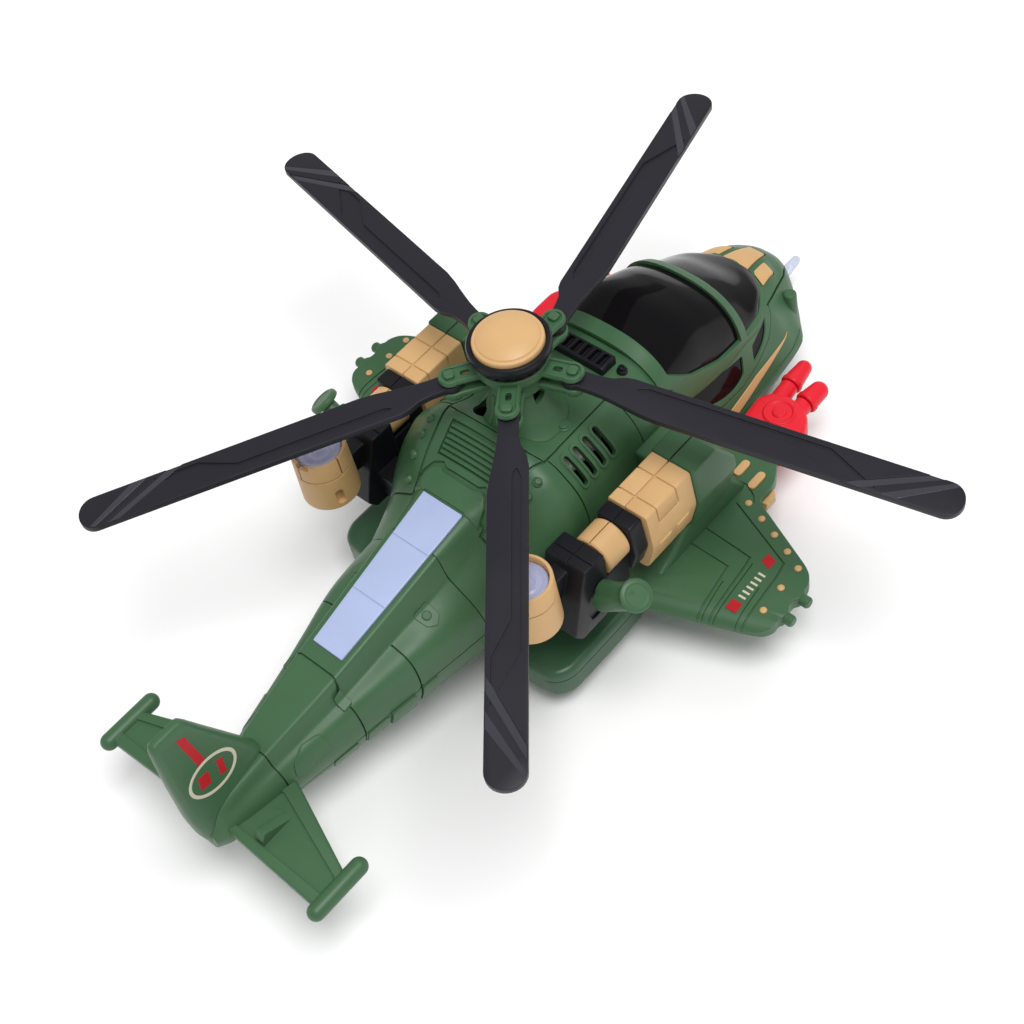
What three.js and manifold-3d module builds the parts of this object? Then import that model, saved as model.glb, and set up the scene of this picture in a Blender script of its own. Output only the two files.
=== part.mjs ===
// Toy attack helicopter with a free-spinning five-blade rotor.
// Millimetres, nose towards -Y, +Z up, origin on the flat belly under the rotor mast.
import * as THREE from 'three';
import { mergeVertices } from 'three/addons/utils/BufferGeometryUtils.js';
import Module from 'manifold-3d';

const wasm = await Module();
wasm.setup();

// ---- driving dimensions -------------------------------------------------
const FIT = 0.3;            // gap between separately moulded pieces
const RUN = 0.06;           // radial running clearance
const WALL = 2;             // moulded wall thickness
const PART_LINE = 19;       // height of the seam between upper body and lower hull
const BOOM_FRONT = 60.5;    // where the tail boom plugs on
const PIN_RADIUS = 21.8;    // circle of the blade hinge pins
const PIN_Z = 100;          // top of the hinge bolts
const HUB_PHASE = 54.6;     // angle of the first hinge pin
const BLADE_SWING = [2.3, 3.7, 15.5, -3.3, 3.7];
const BLADE_DROOP = 4.65;
const BLADE_LENGTH = 135;
const BLADE_HALF_CHORD = 6.75;
const WHEEL_RADIUS = 8;
const AXLE_Z = 4;
const FRONT_AXLE_Y = -84;
const REAR_AXLE_Y = 44;
const GEAR_MODULE = 0.8;
const GEAR_TEETH = 40;
const PINION_TEETH = 10;
const GEAR_Z = [58, 63];
const GEAR_CENTRE = 20;
const CELL_RADIUS = 7.1;
const CELL_LENGTH = 50.5;
const WING_TOP = 23.5;
const SPEAKER_Y = -44;
const LENS_SLOPE = -0.231;

const COLOURS = {
  green: [0x4a7350, 0.5, 0], tan: [0xd9b27c, 0.5, 0], black: [0x29292e, 0.45, 0],
  red: [0xe8233a, 0.4, 0], lens: [0xb6c3e0, 0.3, 0], smoke: [0x1a1418, 0.15, 0],
  clear: [0xd5dcee, 0.2, 0], steel: [0xb9bcc0, 0.35, 0.9], brass: [0xc9a24d, 0.35, 0.9],
  board: [0x2f7a45, 0.6, 0], cell: [0x3a6fb5, 0.4, 0.1], nylon: [0xe8e4da, 0.55, 0],
  rubber: [0x1c1c1c, 0.85, 0], seat: [0x7a2226, 0.6, 0],
};

// ---- solid helpers ------------------------------------------------------
function solid(geometry) {
  geometry.deleteAttribute('normal');
  geometry.deleteAttribute('uv');
  const merged = mergeVertices(geometry, 1e-4);
  return new wasm.Manifold(new wasm.Mesh({
    numProp: 3,
    vertProperties: Float32Array.from(merged.attributes.position.array),
    triVerts: Uint32Array.from(merged.index.array),
  }));
}

function toGeometry(body) {
  const raw = body.getMesh();
  const geometry = new THREE.BufferGeometry();
  geometry.setAttribute('position', new THREE.BufferAttribute(Float32Array.from(raw.vertProperties), 3));
  geometry.setIndex(new THREE.BufferAttribute(Uint32Array.from(raw.triVerts), 1));
  return geometry;
}

function join(bodies) {
  return bodies.reduce((sum, body) => sum.add(body));
}

function cut(body, tools) {
  return tools.reduce((rest, tool) => rest.subtract(tool), body);
}

function mirrored(body) {
  const geometry = toGeometry(body);
  geometry.scale(-1, 1, 1);
  const index = geometry.index;
  for (let i = 0; i < index.count; i += 3) {
    const swap = index.getX(i);
    index.setX(i, index.getX(i + 1));
    index.setX(i + 1, swap);
  }
  return solid(geometry);
}

function bothSides(body) {
  return body.add(mirrored(body));
}

// Exactly mirror-symmetric copy of a body that is only nearly so.
function symmetric(body) {
  return bothSides(body.intersect(box(0, 300, -300, 300, -100, 300)));
}

function box(x0, x1, y0, y1, z0, z1) {
  const geometry = new THREE.BoxGeometry(x1 - x0, y1 - y0, z1 - z0);
  geometry.translate((x0 + x1) / 2, (y0 + y1) / 2, (z0 + z1) / 2);
  return solid(geometry);
}

function rod(radius, from, to, segments = 20, endRadius = radius) {
  const start = new THREE.Vector3(...from);
  const end = new THREE.Vector3(...to);
  const along = end.clone().sub(start);
  const geometry = new THREE.CylinderGeometry(endRadius, radius, along.length(), segments);
  const turn = new THREE.Quaternion().setFromUnitVectors(new THREE.Vector3(0, 1, 0), along.clone().normalize());
  geometry.applyQuaternion(turn);
  geometry.translate(...start.add(end).multiplyScalar(0.5).toArray());
  return solid(geometry);
}

function ball(radius, centre, segments = 16) {
  const geometry = new THREE.SphereGeometry(radius, segments, segments / 2);
  geometry.translate(...centre);
  return solid(geometry);
}

// Turned body about a vertical axis through (x, y); profile is [radius, z] pairs.
function turned(profile, x, y, segments = 32) {
  const geometry = new THREE.LatheGeometry(profile.map(([r, z]) => new THREE.Vector2(r, z)), segments);
  geometry.rotateX(Math.PI / 2);
  geometry.translate(x, y, 0);
  return solid(geometry);
}

function shapeOf(points) {
  return new THREE.Shape(points.map(([u, v]) => new THREE.Vector2(u, v)));
}

// Flat plate with an XY outline between two heights.
function plate(points, z0, z1) {
  const geometry = new THREE.ExtrudeGeometry(shapeOf(points), { depth: z1 - z0, bevelEnabled: false });
  geometry.translate(0, 0, z0);
  return solid(geometry);
}

// Slab with a YZ outline between two x planes.
function slab(points, x0, x1) {
  const geometry = new THREE.ExtrudeGeometry(shapeOf(points), { depth: x1 - x0, bevelEnabled: false });
  geometry.applyMatrix4(new THREE.Matrix4().set(0, 0, 1, x0, 1, 0, 0, 0, 0, 1, 0, 0, 0, 0, 0, 1));
  return solid(geometry);
}

function moved(body, matrix) {
  const geometry = toGeometry(body);
  geometry.applyMatrix4(matrix);
  return solid(geometry);
}

function turnedAboutZ(body, degrees, at = [0, 0, 0]) {
  const matrix = new THREE.Matrix4().makeTranslation(...at);
  matrix.multiply(new THREE.Matrix4().makeRotationZ(THREE.MathUtils.degToRad(degrees)));
  return moved(body, matrix);
}

// ---- lofted skins -------------------------------------------------------
// A station is { y, half } where half runs from the top centre down to the bottom centre.
function loft(stations) {
  const count = stations[0].half.length - 1;
  const around = 2 * count;
  const geometry = new THREE.CylinderGeometry(1, 1, stations.length - 1, around, stations.length - 1);
  const position = geometry.attributes.position;
  for (let i = 0; i < position.count; i++) {
    const level = Math.round(position.getY(i) + (stations.length - 1) / 2);
    const { y, half } = stations[level];
    const radius = Math.hypot(position.getX(i), position.getZ(i));
    if (radius < 0.5) {
      position.setXYZ(i, 0, y, (half[0][1] + half[count][1]) / 2);
      continue;
    }
    const turn = Math.atan2(position.getX(i), position.getZ(i)) / (2 * Math.PI);
    const step = (Math.round(turn * around) + around) % around;
    const [x, z] = step <= count ? half[step] : half[around - step];
    position.setXYZ(i, step <= count ? x : -x, y, z);
  }
  return solid(geometry);
}

function station(y, top, edge, crease, shoulder, wide, low, bottom) {
  return { y, half: [[0, top], edge, crease, shoulder, wide, low, [0, bottom]] };
}

function grown({ y, half }, amount) {
  const centre = (half[0][1] + half[half.length - 1][1]) / 2;
  const width = Math.max(...half.map(([x]) => x));
  const height = half[0][1] - centre;
  const [wider, taller] = [1 + amount / width, 1 + amount / height];
  const scaled = half.map(([x, z]) => [x * wider, centre + (z - centre) * taller]);
  return { y, half: scaled };
}

function cavity(stations, wall, front, rear) {
  const inner = stations.map((entry) => grown(entry, -wall));
  inner[0].y += front;
  inner[inner.length - 1].y += rear;
  return loft(inner);
}

const NOSE_STATIONS = [
  station(-141.5, 30, [3, 30], [6, 28.5], [8, 25], [9, 20], [7, 13], 12),
  station(-138, 34.5, [3.5, 34.5], [9.5, 32], [12, 28.5], [14, 20], [11, 10], 9),
  station(-133, 38, [4.5, 37.8], [13.5, 34], [16.5, 30], [20, 20], [16, 7], 6),
  station(-126, 41.5, [12, 40], [16.5, 35.5], [19, 32], [27, 19], [20, 5], 4),
  station(-119, 43.8, [15, 41], [19.5, 36.5], [21.5, 33], [33, 18.5], [24, 4], 2.5),
  station(-110, 46.5, [16, 44], [23, 39], [27, 34], [35, 19], [27, 2], 1),
  station(-100, 46.5, [18, 45.5], [25.5, 42.5], [29, 34], [36, 19], [28.5, 0.6], 0),
  station(-88, 46, [19, 45.7], [28, 44], [31, 33], [37, 19], [30, 0], 0),
  station(-60, 47, [20, 47], [29, 47], [34, 36], [38, 19], [32, 0], 0),
  station(-44, 48, [20, 48], [30, 50], [36, 38], [39, 20], [33, 0], 0),
];

const DECK_STATIONS = [
  station(-46, 72.2, [14, 71.3], [21, 68], [29, 60], [38.5, 24], [33, 0], 0),
  station(-28, 72.6, [19, 72], [23, 70.6], [32.5, 61.5], [39.5, 25], [34, 0], 0),
  station(5, 73, [20, 72], [25, 71], [34, 62.6], [40, 26], [35, 0], 0),
  station(18, 78.3, [15.5, 77.6], [27, 73], [37.5, 62], [40.5, 27], [35, 0], 0),
  station(26, 74.2, [14.6, 73.6], [25.5, 70.5], [38.6, 57.5], [39.5, 27.5], [34, 1], 1),
  station(33, 70, [13.5, 69.4], [23, 66.8], [37.4, 53], [38, 28], [32, 2.5], 2.5),
  station(46, 66, [11.5, 65.5], [15.8, 57.8], [31, 47.5], [33.5, 28.5], [27, 6], 6),
  station(60.2, 62.5, [11, 62.2], [14, 52], [28, 41.5], [29, 28], [22, 10.5], 10),
];

const BOOM_STATIONS = [
  station(BOOM_FRONT, 62.4, [11, 62.1], [14, 52], [28, 41.5], [29, 28], [22, 10.6], 10.1),
  station(84, 57, [10.3, 56.6], [13.2, 48], [24, 44.5], [25.5, 29], [19, 12], 11),
  station(104, 52.3, [9.6, 52], [12, 44], [19.8, 41.5], [21.5, 27.5], [16, 13], 12),
  station(116, 49.6, [9, 49.3], [11.2, 41.8], [17.2, 39.5], [19.3, 26.5], [14, 13.3], 12.3),
  station(145, 43, [6.5, 42.6], [8.1, 37.2], [12.2, 34.5], [14, 26], [10, 15.5], 14.5),
  station(170, 36.5, [4.6, 36.1], [6.2, 32.5], [8.5, 29], [9.8, 25.5], [7, 18.3], 17),
  station(175, 33, [3, 32.6], [4.3, 30], [6, 28], [7, 25.5], [5, 19.5], 18.5),
];

function canopyStation(y, top, upper, middle, side, base) {
  return { y, half: [[0, top], upper, middle, side, base, [base[0], 36], [0, 36]] };
}

const CANOPY_STATIONS = [
  canopyStation(-111, 47.5, [8, 47.2], [14, 46.3], [17, 45.2], [17.5, 44]),
  canopyStation(-100, 57.5, [10, 56.6], [18, 53], [24, 47.5], [25.5, 44]),
  canopyStation(-87, 65, [10, 64.3], [19, 61], [25.5, 53.5], [27.6, 45.5]),
  canopyStation(-75, 71.8, [11, 70.9], [20, 67], [26, 58], [28.6, 46]),
  canopyStation(-60, 76.3, [12, 75.3], [21, 71.5], [27, 62], [29.2, 47]),
  canopyStation(-46.3, 74.6, [12.5, 73.8], [21.5, 70], [27.5, 63], [29.6, 48]),
];

const bodyOuter = symmetric(loft(NOSE_STATIONS).add(loft(DECK_STATIONS)));
const boomOuter = symmetric(loft(BOOM_STATIONS));
const canopyOuter = symmetric(loft(CANOPY_STATIONS));
const noseHollow = cavity(NOSE_STATIONS, WALL, WALL + 4, 4);
const bodyHollow = symmetric(noseHollow.add(cavity(DECK_STATIONS, WALL, WALL, 2)));

// ---- fuselage -----------------------------------------------------------
const ABOVE_SEAM = box(-200, 200, -200, 200, PART_LINE + FIT / 2, 200);
const BELOW_SEAM = box(-200, 200, -200, 200, -50, PART_LINE - FIT / 2);

function sideWindow(depth) {
  const outline = [[-85.8, 44.5], [-82.9, 32], [-76, 31.4], [-68.2, 33.2], [-59.1, 37.6], [-50, 47.5]];
  return slab(outline, depth, 60);
}

function lensBlank(grow, top, bottom) {
  const front = [9.2 + grow, 44 - grow];
  const rear = [6.9 + grow, 106.5 + grow];
  const outline = [[-front[0], front[1]], front, rear, [-rear[0], rear[1]]];
  const lift = 66.3 - 44 * LENS_SLOPE;
  const shear = new THREE.Matrix4().set(1, 0, 0, 0, 0, 1, 0, 0, 0, LENS_SLOPE, 1, lift, 0, 0, 0, 1);
  return moved(plate(outline, bottom, top), shear);
}

function ventSlots() {
  return [-8.7, -3.4, 1.9, 7.1].map((y) => rod(1.2, [23.6, y, 72], [32.4, y, 62.2], 8));
}

function louverRibs() {
  const ribs = [];
  for (let i = 0; i < 5; i++) {
    const y = 20.6 + i * 2.1;
    ribs.push(box(-13, 13, y, y + 1, 60, 78.2 - (y - 18) * 0.553 + 0.5));
  }
  return ribs;
}

function cockpitOpening(grow) {
  return box(-17 - grow, 17 + grow, -98 - grow, -50 + grow, 26, 60);
}

function upperBody() {
  const skin = join([bodyOuter, ...louverRibs()]).subtract(bodyHollow);
  const bearing = rod(5, [0, 0, 66], [0, 0, 72.5], 24);
  const rivets = [[25.1, 21.3, 72.8], [24.8, 26.9, 70], [23.8, 33.4, 65.6], [21.8, 39.9, 59.8]]
    .map((spot) => ball(1.4, spot, 8));
  const slots = ventSlots();
  const windows = bothSides(sideWindow(24));
  const shell = cut(join([skin, bearing]), [
    ...slots, ...slots.map(mirrored), cockpitOpening(FIT), windows,
    rod(2.5 + FIT, [0, 0, 50], [0, 0, 90], 24), lensBlank(0.15, 6, -1.8), lensBlank(-2, 1, -8),
  ]);
  return shell.intersect(ABOVE_SEAM).add(bothSides(join(rivets)).subtract(bodyHollow));
}

function rearPod() {
  const outline = [
    [30, -4], [48, -2], [54.5, 6], [55.8, 20], [55.8, 50], [52, 56], [40, 57.5], [26, 50], [28, 10],
  ];
  const lower = outline.map(([x, y]) => [x - 2.5 * Math.sign(x - 30), y]);
  return plate(outline, 7, 17.6).add(plate(lower, 3, 7));
}

function batteryBox() {
  return box(-25, 25, -28, 30, WALL - 0.5, PART_LINE - FIT).subtract(box(-23, 23, -26, 28, -1, 17));
}

function axleBearings() {
  const bracket = box(14, 17, REAR_AXLE_Y - 4, REAR_AXLE_Y + 4, 1, 12);
  return bothSides(bracket);
}

function lowerHull() {
  const pods = bothSides(rearPod());
  const room = bodyHollow.intersect(box(-60, 60, -200, 200, -5, 40));
  const skin = bodyOuter.intersect(BELOW_SEAM).add(pods).subtract(room);
  const wheelSlot = box(18.5, 28.5, REAR_AXLE_Y - 9.5, REAR_AXLE_Y + 9.5, -4, 17);
  const pocket = box(-24, 24, -27, 29, -5, WALL);
  const grille = [0, 1, 2, 3, 4, 5].map((i) => {
    const angle = (i * Math.PI) / 3;
    const [x, y] = [6 * Math.cos(angle), SPEAKER_Y + 6 * Math.sin(angle)];
    return rod(1.1, [x, y, -2], [x, y, 4], 8);
  });
  const ring = rod(27, [0, FRONT_AXLE_Y, 1], [0, FRONT_AXLE_Y, 6], 32)
    .subtract(rod(25, [0, FRONT_AXLE_Y, 0], [0, FRONT_AXLE_Y, 9], 32));
  const channel = box(-18, 18, REAR_AXLE_Y - 2.5, REAR_AXLE_Y + 2.5, -2, 6.4);
  return cut(join([skin.subtract(channel), batteryBox(), axleBearings(), ring.intersect(bodyOuter)]), [
    pocket, bothSides(wheelSlot), box(-23, 23, -26, 28, -1, 17),
    rod(21.6, [0, FRONT_AXLE_Y, -3], [0, FRONT_AXLE_Y, 3], 32), ...grille,
    rod(1.5 + RUN, [-20, REAR_AXLE_Y, AXLE_Z], [20, REAR_AXLE_Y, AXLE_Z], 16),
    box(-22, -18, -56, -46, -2, 4),
  ]);
}

function tailBoom() {
  const hollow = cavity(BOOM_STATIONS.slice(0, 5), WALL, -2, -4);
  const core = cavity(BOOM_STATIONS, 0.6, -1, 1);
  const bands = [90.2, 114.4].map((y) => box(-40, 40, y, y + 0.8, 0, 80).subtract(core));
  return cut(boomOuter, [hollow, ...bands, lensBlank(0.15, 6, -1.8), lensBlank(-2, 1, -8)]);
}

function tailFin() {
  const outline = [
    [143.4, 38.5], [150, 30], [172, 21], [176.4, 20], [177.6, 24], [177.9, 34.7],
    [177.7, 60], [176.6, 82.4], [174.8, 84.7], [164.2, 84.7], [162.3, 82.8], [147, 50], [144.2, 44],
  ];
  const blade = slab(outline, -2.6, 2.6);
  const fillet = slab([[144.4, 39], [147.6, 47], [176.8, 47], [177, 36], [176.4, 22], [160, 28]], -5, 5);
  return blade.add(fillet).subtract(boomOuter);
}

function stabiliser() {
  const outline = [
    [4, 143], [14.5, 142.9], [48.8, 156.1], [50.5, 157.6],
    [50.5, 169.8], [49.3, 171.4], [11.8, 170.2], [4, 169.8],
  ];
  const panel = plate(outline, 26, 29.2);
  const groove = (from, to) => rod(0.5, [...from, 29.4], [...to, 29.4], 6);
  const capsule = join([
    rod(3, [52.3, 152, 27.6], [52.3, 172, 27.6], 16),
    ball(3, [52.3, 152, 27.6]),
    ball(3, [52.3, 172, 27.6]),
  ]);
  const wedge = slab([[152, 28], [166, 28], [166, 31], [163.5, 34]], 20, 22);
  return cut(join([panel, capsule, wedge]), [
    groove([16, 149.4], [47, 160]), groove([16, 167.2], [47, 167.2]), boomOuter,
  ]).subtract(slab([[140, 10], [180, 10], [180, 60], [140, 60]], -1, 4.4));
}

// ---- cabin --------------------------------------------------------------
function canopyGlass() {
  const inner = loft(CANOPY_STATIONS.map((entry) => {
    const shrunk = grown(entry, -1.6);
    shrunk.half[5][1] = 20;
    shrunk.half[6][1] = 20;
    return shrunk;
  }).map((entry, i) => (i === 0 ? { ...entry, y: -108 } : entry))
    .map((entry, i) => (i === CANOPY_STATIONS.length - 1 ? { ...entry, y: -48 } : entry)));
  const panes = bothSides(sideWindow(24.3)).intersect(bodyOuter).subtract(bodyHollow);
  const bowl = canopyOuter.subtract(inner);
  const seat = bodyOuter.subtract(bothSides(sideWindow(24)));
  return bowl.subtract(seat).add(panes);
}

function canopyFrame() {
  const rear = { ...CANOPY_STATIONS[5], y: -40 };
  const outer = loft([...CANOPY_STATIONS, rear].map((entry) => grown(entry, 1.3)));
  const rearArch = box(-40, 40, -46.2, -40, 55, 90);
  const frontArch = slab([[-90.3, 38], [-86.6, 38], [-87.2, 90], [-91.6, 90]], -40, 40);
  const rail = slab([
    [-90.5, 40], [-90.5, 44.6], [-73.4, 48.2], [-57.7, 55], [-46.3, 64], [-40.2, 67.6], [-40.2, 59], [-84, 41],
  ], 15, 40);
  const bands = join([rearArch, frontArch, bothSides(rail)]);
  return outer.intersect(bands).subtract(canopyOuter).subtract(bodyOuter);
}

function cockpitTub() {
  const outside = cockpitOpening(0).intersect(box(-40, 40, -200, 0, 27, 45));
  const tub = outside.subtract(box(-15.4, 15.4, -96.4, -51.6, 28.6, 60));
  const seat = (y) => slab([[y, 28], [y + 9, 28], [y + 11.5, 52], [y + 8, 52], [y + 6, 36], [y, 35]], -7, 7);
  const seats = [-80, -62].map(seat);
  const dash = slab([[-96.6, 28], [-90, 28], [-92, 46], [-96.6, 44]], -14, 14);
  return join([tub, ...seats, dash]);
}

function intakeBlock() {
  const block = box(-13, 13, -36, -28, 71, 76);
  const slats = [-11, -6.6, -2.2, 2.2, 6.6].map((x) => box(x, x + 3, -37, -29.5, 74, 77));
  return cut(block, [...slats, bodyOuter]);
}

function antennaKnob() {
  const base = rod(2.8, [-17, -34, 70], [-17, -34, 74], 16);
  const tip = rod(1.6, [-17, -34, 73.5], [-17, -34, 76], 12);
  return join([base, tip]).subtract(bodyOuter);
}

function mastShroud() {
  const profile = [
    [3.4, 71], [16, 71], [15.5, 73.5], [12.6, 76.5], [10.4, 80.5], [9, 85], [8.4, 90], [3.4, 90], [3.4, 71],
  ];
  return turned(profile, 0, 1, 24).subtract(bodyOuter).subtract(rod(3.6, [0, 0, 60], [0, 0, 99], 24));
}

// ---- rotor --------------------------------------------------------------
function aroundHub(make) {
  return BLADE_SWING.map((swing, i) => turnedAboutZ(make(), HUB_PHASE - 72 * i));
}

function finger(z0, z1, reach) {
  const tip = rod(4.4, [PIN_RADIUS, 0, z0], [PIN_RADIUS, 0, z1], 14);
  return tip.add(plate([[8, -4.4], [reach, -3.9], [reach, 3.9], [8, 4.4]], z0, z1));
}

function hubLower() {
  const disc = rod(11, [0, 0, 91], [0, 0, 98.2], 24);
  const pin = () => rod(1.6, [PIN_RADIUS, 0, 94], [PIN_RADIUS, 0, 99.4], 12);
  const arms = aroundHub(() => finger(92.2, 94.9, PIN_RADIUS));
  return join([disc, ...arms, ...aroundHub(pin)]).subtract(rod(2.5 + RUN, [0, 0, 80], [0, 0, 110], 24));
}

function hubUpper() {
  const disc = rod(13.2, [0, 0, 98.6], [0, 0, 102.4], 24);
  const arms = aroundHub(() => finger(98.6, 100, PIN_RADIUS));
  const boss = () => rod(2.9, [PIN_RADIUS, 0, 99.6], [PIN_RADIUS, 0, 101.4], 12);
  const socket = () => rod(1.6 + RUN, [PIN_RADIUS, 0, 98], [PIN_RADIUS, 0, 99.6], 12);
  const whole = join([disc, ...arms, ...aroundHub(boss)]);
  return cut(whole, [...aroundHub(socket), rod(2.5 + RUN, [0, 0, 80], [0, 0, 110], 24)]);
}

function rotorRing() {
  const profile = [
    [0, 102.7], [12.4, 102.7], [12.4, 105.4], [14.2, 105.7], [14.7, 106.6], [14.7, 109], [14, 109.8],
    [12.9, 109.8], [12.9, 107.4], [0, 107.4],
  ];
  return turned(profile, 0, 0, 28);
}

function rotorCap() {
  const profile = [
    [0, 107.7], [12.6, 107.7], [12.6, 110.6], [12, 111.4], [9.4, 111.8], [8.6, 112.4], [5, 113.7], [0, 114.2],
  ];
  return turned(profile, 0, 0, 28);
}

function rotorShaft() {
  return rod(2.5, [0, 0, 55], [0, 0, 102.4], 24);
}

function bladeOutline(inset) {
  const half = BLADE_HALF_CHORD - inset;
  const points = [[12, -3.6 + inset], [26, -half], [BLADE_LENGTH - 7, -half]];
  for (let i = 1; i < 6; i++) {
    const angle = -Math.PI / 2 + (i * Math.PI) / 6;
    points.push([BLADE_LENGTH - 7 + (7 - inset) * Math.cos(angle), half * Math.sin(angle)]);
  }
  points.push([BLADE_LENGTH - 7, half], [30, half], [16, 3.6 - inset]);
  return points;
}

function blade(index) {
  const eye = rod(4.1, [0, 0, -1.2], [0, 0, 1.2], 14);
  const neck = plate([[0, -3.2], [13, -3.6], [17, 3.6], [0, 3.2]], -1.2, 1.2);
  const panel = plate([[28, -4.2], [112, -4.2], [116, 4.2], [34, 4.2]], 0.7, 3);
  const flat = cut(join([eye, neck, plate(bladeOutline(0), -1.2, 1.2)]), [panel]);
  const slope = -Math.tan(THREE.MathUtils.degToRad(BLADE_DROOP));
  const shear = new THREE.Matrix4().set(1, 0, 0, 0, 0, 1, 0, 0, slope, 0, 1, 0, 0, 0, 0, 1);
  const drooped = moved(flat, shear).subtract(rod(1.6 + 0.2, [0, 0, -5], [0, 0, 5], 12));
  const pinAngle = HUB_PHASE - 72 * index;
  const angle = THREE.MathUtils.degToRad(pinAngle);
  const root = [PIN_RADIUS * Math.cos(angle), PIN_RADIUS * Math.sin(angle), PIN_Z - 3.2];
  return turnedAboutZ(drooped, pinAngle + BLADE_SWING[index], root);
}

// ---- wings, engines and weapons (built on the +X side) --------------------
const WING_OUTLINE = [
  [30, -66], [45, -68], [56, -67.2], [61.6, -62.4], [66, -55.6], [67.4, -51], [68.1, -44.6], [99.4, -29.6],
  [103, -24.8], [104.1, -18], [104.1, -8], [103.4, -3], [99.4, 1.4], [93.4, 3.8], [64.4, 14.2], [30, 24],
];

function wing() {
  const skin = plate(WING_OUTLINE, 18.2, WING_TOP);
  const rivets = [
    [65.1, -40.6], [73.2, -37.6], [81.1, -34.5], [89.2, -31.2], [96.5, -27.5], [96.5, -17.4], [97.1, -6.3],
  ].map(([x, y]) => rod(1.3, [x, y, 22], [x, y, 24.3], 10, 0.9));
  const stubs = [-19.2, -9.7].map((y) => rod(2.1, [101, y, 20.6], [107.5, y, 20.6], 12));
  const cowl = join([
    slab([[-31, 23], [-15.2, 23], [-15.2, 66.3], [-27, 66.3], [-30, 62]], 45.4, 62),
    slab([[-31, 23], [-15.2, 23], [-15.2, 50], [-28, 50]], 58, 64),
  ]);
  const brace = box(34, 46, -28, -17, 30, 56);
  const groove = (from, to) => rod(0.45, [...from, WING_TOP + 0.1], [...to, WING_TOP + 0.1], 6);
  const grooves = [
    groove([62.5, -38], [91.2, -26.3]), groove([58, -22.9], [79.9, -21.6]), groove([79.9, -21.6], [83.4, 6]),
  ];
  const pockets = insertBlanks(0.15, 1.6);
  return cut(join([skin, ...rivets, ...stubs, cowl, brace]), [...grooves, ...pockets, bodyOuter]);
}

function insertBlanks(grow, depth) {
  return [[53.6, -55.8, -48.1], [61.5, -54.6, -46.2]].map(([x, y0, y1]) => (
    box(x - 1.6 - grow, x + 1.6 + grow, y0 - grow, y1 + grow, WING_TOP - depth, WING_TOP + 6)
  ));
}

function wingInsert() {
  const tabs = insertBlanks(0, 1.5).map((blank) => blank.intersect(box(0, 120, -80, 0, 0, WING_TOP + 0.9)));
  const bridge = box(53.6, 61.5, -52, -50, WING_TOP - 0.0 + 0.02, WING_TOP + 0.5);
  return join([...tabs, bridge]);
}

function nacelle() {
  const profile = [[45, 35.5], [59.7, 36], [63.5, 50.5], [61.7, 66.5], [45, 66.5], [43.6, 50]];
  const geometry = new THREE.ExtrudeGeometry(shapeOf(profile), { depth: 23.9, bevelEnabled: false });
  geometry.applyMatrix4(new THREE.Matrix4().set(1, 0, 0, 0, 0, 0, 1, -14.9, 0, 1, 0, 0, 0, 0, 0, 1));
  const index = geometry.index;
  const body = index ? solid(geometry) : solidFlipped(geometry);
  return cut(body, [
    box(52.3, 52.9, -20, 20, 65.9, 70), box(40, 70, -7.3, -6.7, 65.9, 70), box(40, 70, 2.5, 3.1, 65.9, 70),
  ]);
}

// Extrusions swapped from XZ to world axes come out inside-out, so their winding is reversed here.
function solidFlipped(geometry) {
  const position = geometry.attributes.position;
  for (let i = 0; i < position.count; i += 3) {
    const first = [position.getX(i), position.getY(i), position.getZ(i)];
    position.setXYZ(i, position.getX(i + 1), position.getY(i + 1), position.getZ(i + 1));
    position.setXYZ(i + 1, ...first);
  }
  return solid(geometry);
}

function sleeve() {
  return rod(8, [52, 16.3, 58], [52, 27.4, 58], 24).subtract(box(40, 64, 21.5, 22.1, 65.3, 70));
}

function engineYoke() {
  const collar = box(44, 61.6, 9.3, 16, 42, 66);
  const block = slab([[27.7, 65], [37.7, 65], [43.5, 50], [47.5, 38], [44, 33], [27.7, 33]], 41, 58.6);
  const beam = box(46, 57, 15.5, 28.5, 36, 49.7);
  const root = box(28, 42, 29, 40, 36, 48);
  const lug = box(45, 51.6, 37, 50, 52, 62);
  return cut(join([collar, block, beam, root, lug]), [bodyOuter, thrusterBlank(FIT)]);
}

function thrusterBlank(grow) {
  return rod(10.8 + grow, [48.3, 55.5, 51 - grow], [48.3, 55.5, 75.2 + grow], 24, 10.2 + grow);
}

function thrusterBarrel() {
  const groove = turned([[9.8, 66], [12, 66], [12, 67], [9.8, 67], [9.8, 66]], 48.3, 55.5, 24);
  const bore = rod(8.8, [48.3, 55.5, 68], [48.3, 55.5, 78], 20);
  return cut(thrusterBlank(0), [groove, bore, box(34, 43, 57, 60, 54, 61)]);
}

function thrusterLens() {
  return turned([
    [0, 68.3], [8.5, 68.3], [8.5, 72.6], [7, 73.4], [6.2, 72.6], [4.4, 73.6], [2.4, 73], [0, 74],
  ], 48.3, 55.5, 20);
}

function stubCap() {
  const direction = new THREE.Vector3(0.6, 0.15, 0.79).normalize();
  const point = (t) => [75.1 + direction.x * t, 31.5 + direction.y * t, 59.5 + direction.z * t];
  const stem = rod(3.4, [57.5, 32, 50], point(-1.6), 12);
  const block = rod(5.4, [59, 32.4, 46], point(-5), 12);
  return join([rod(5.9, point(-2), point(0), 18, 5.4), stem, block]).subtract(box(30, 58.9, 20, 60, 20, 80));
}

const MISSILES = [
  { tail: [52.4, -80], tip: [53.9, -103.5], z: 21 },
  { tail: [44.2, -83], tip: [41.9, -109.3], z: 20.6 },
];

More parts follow.
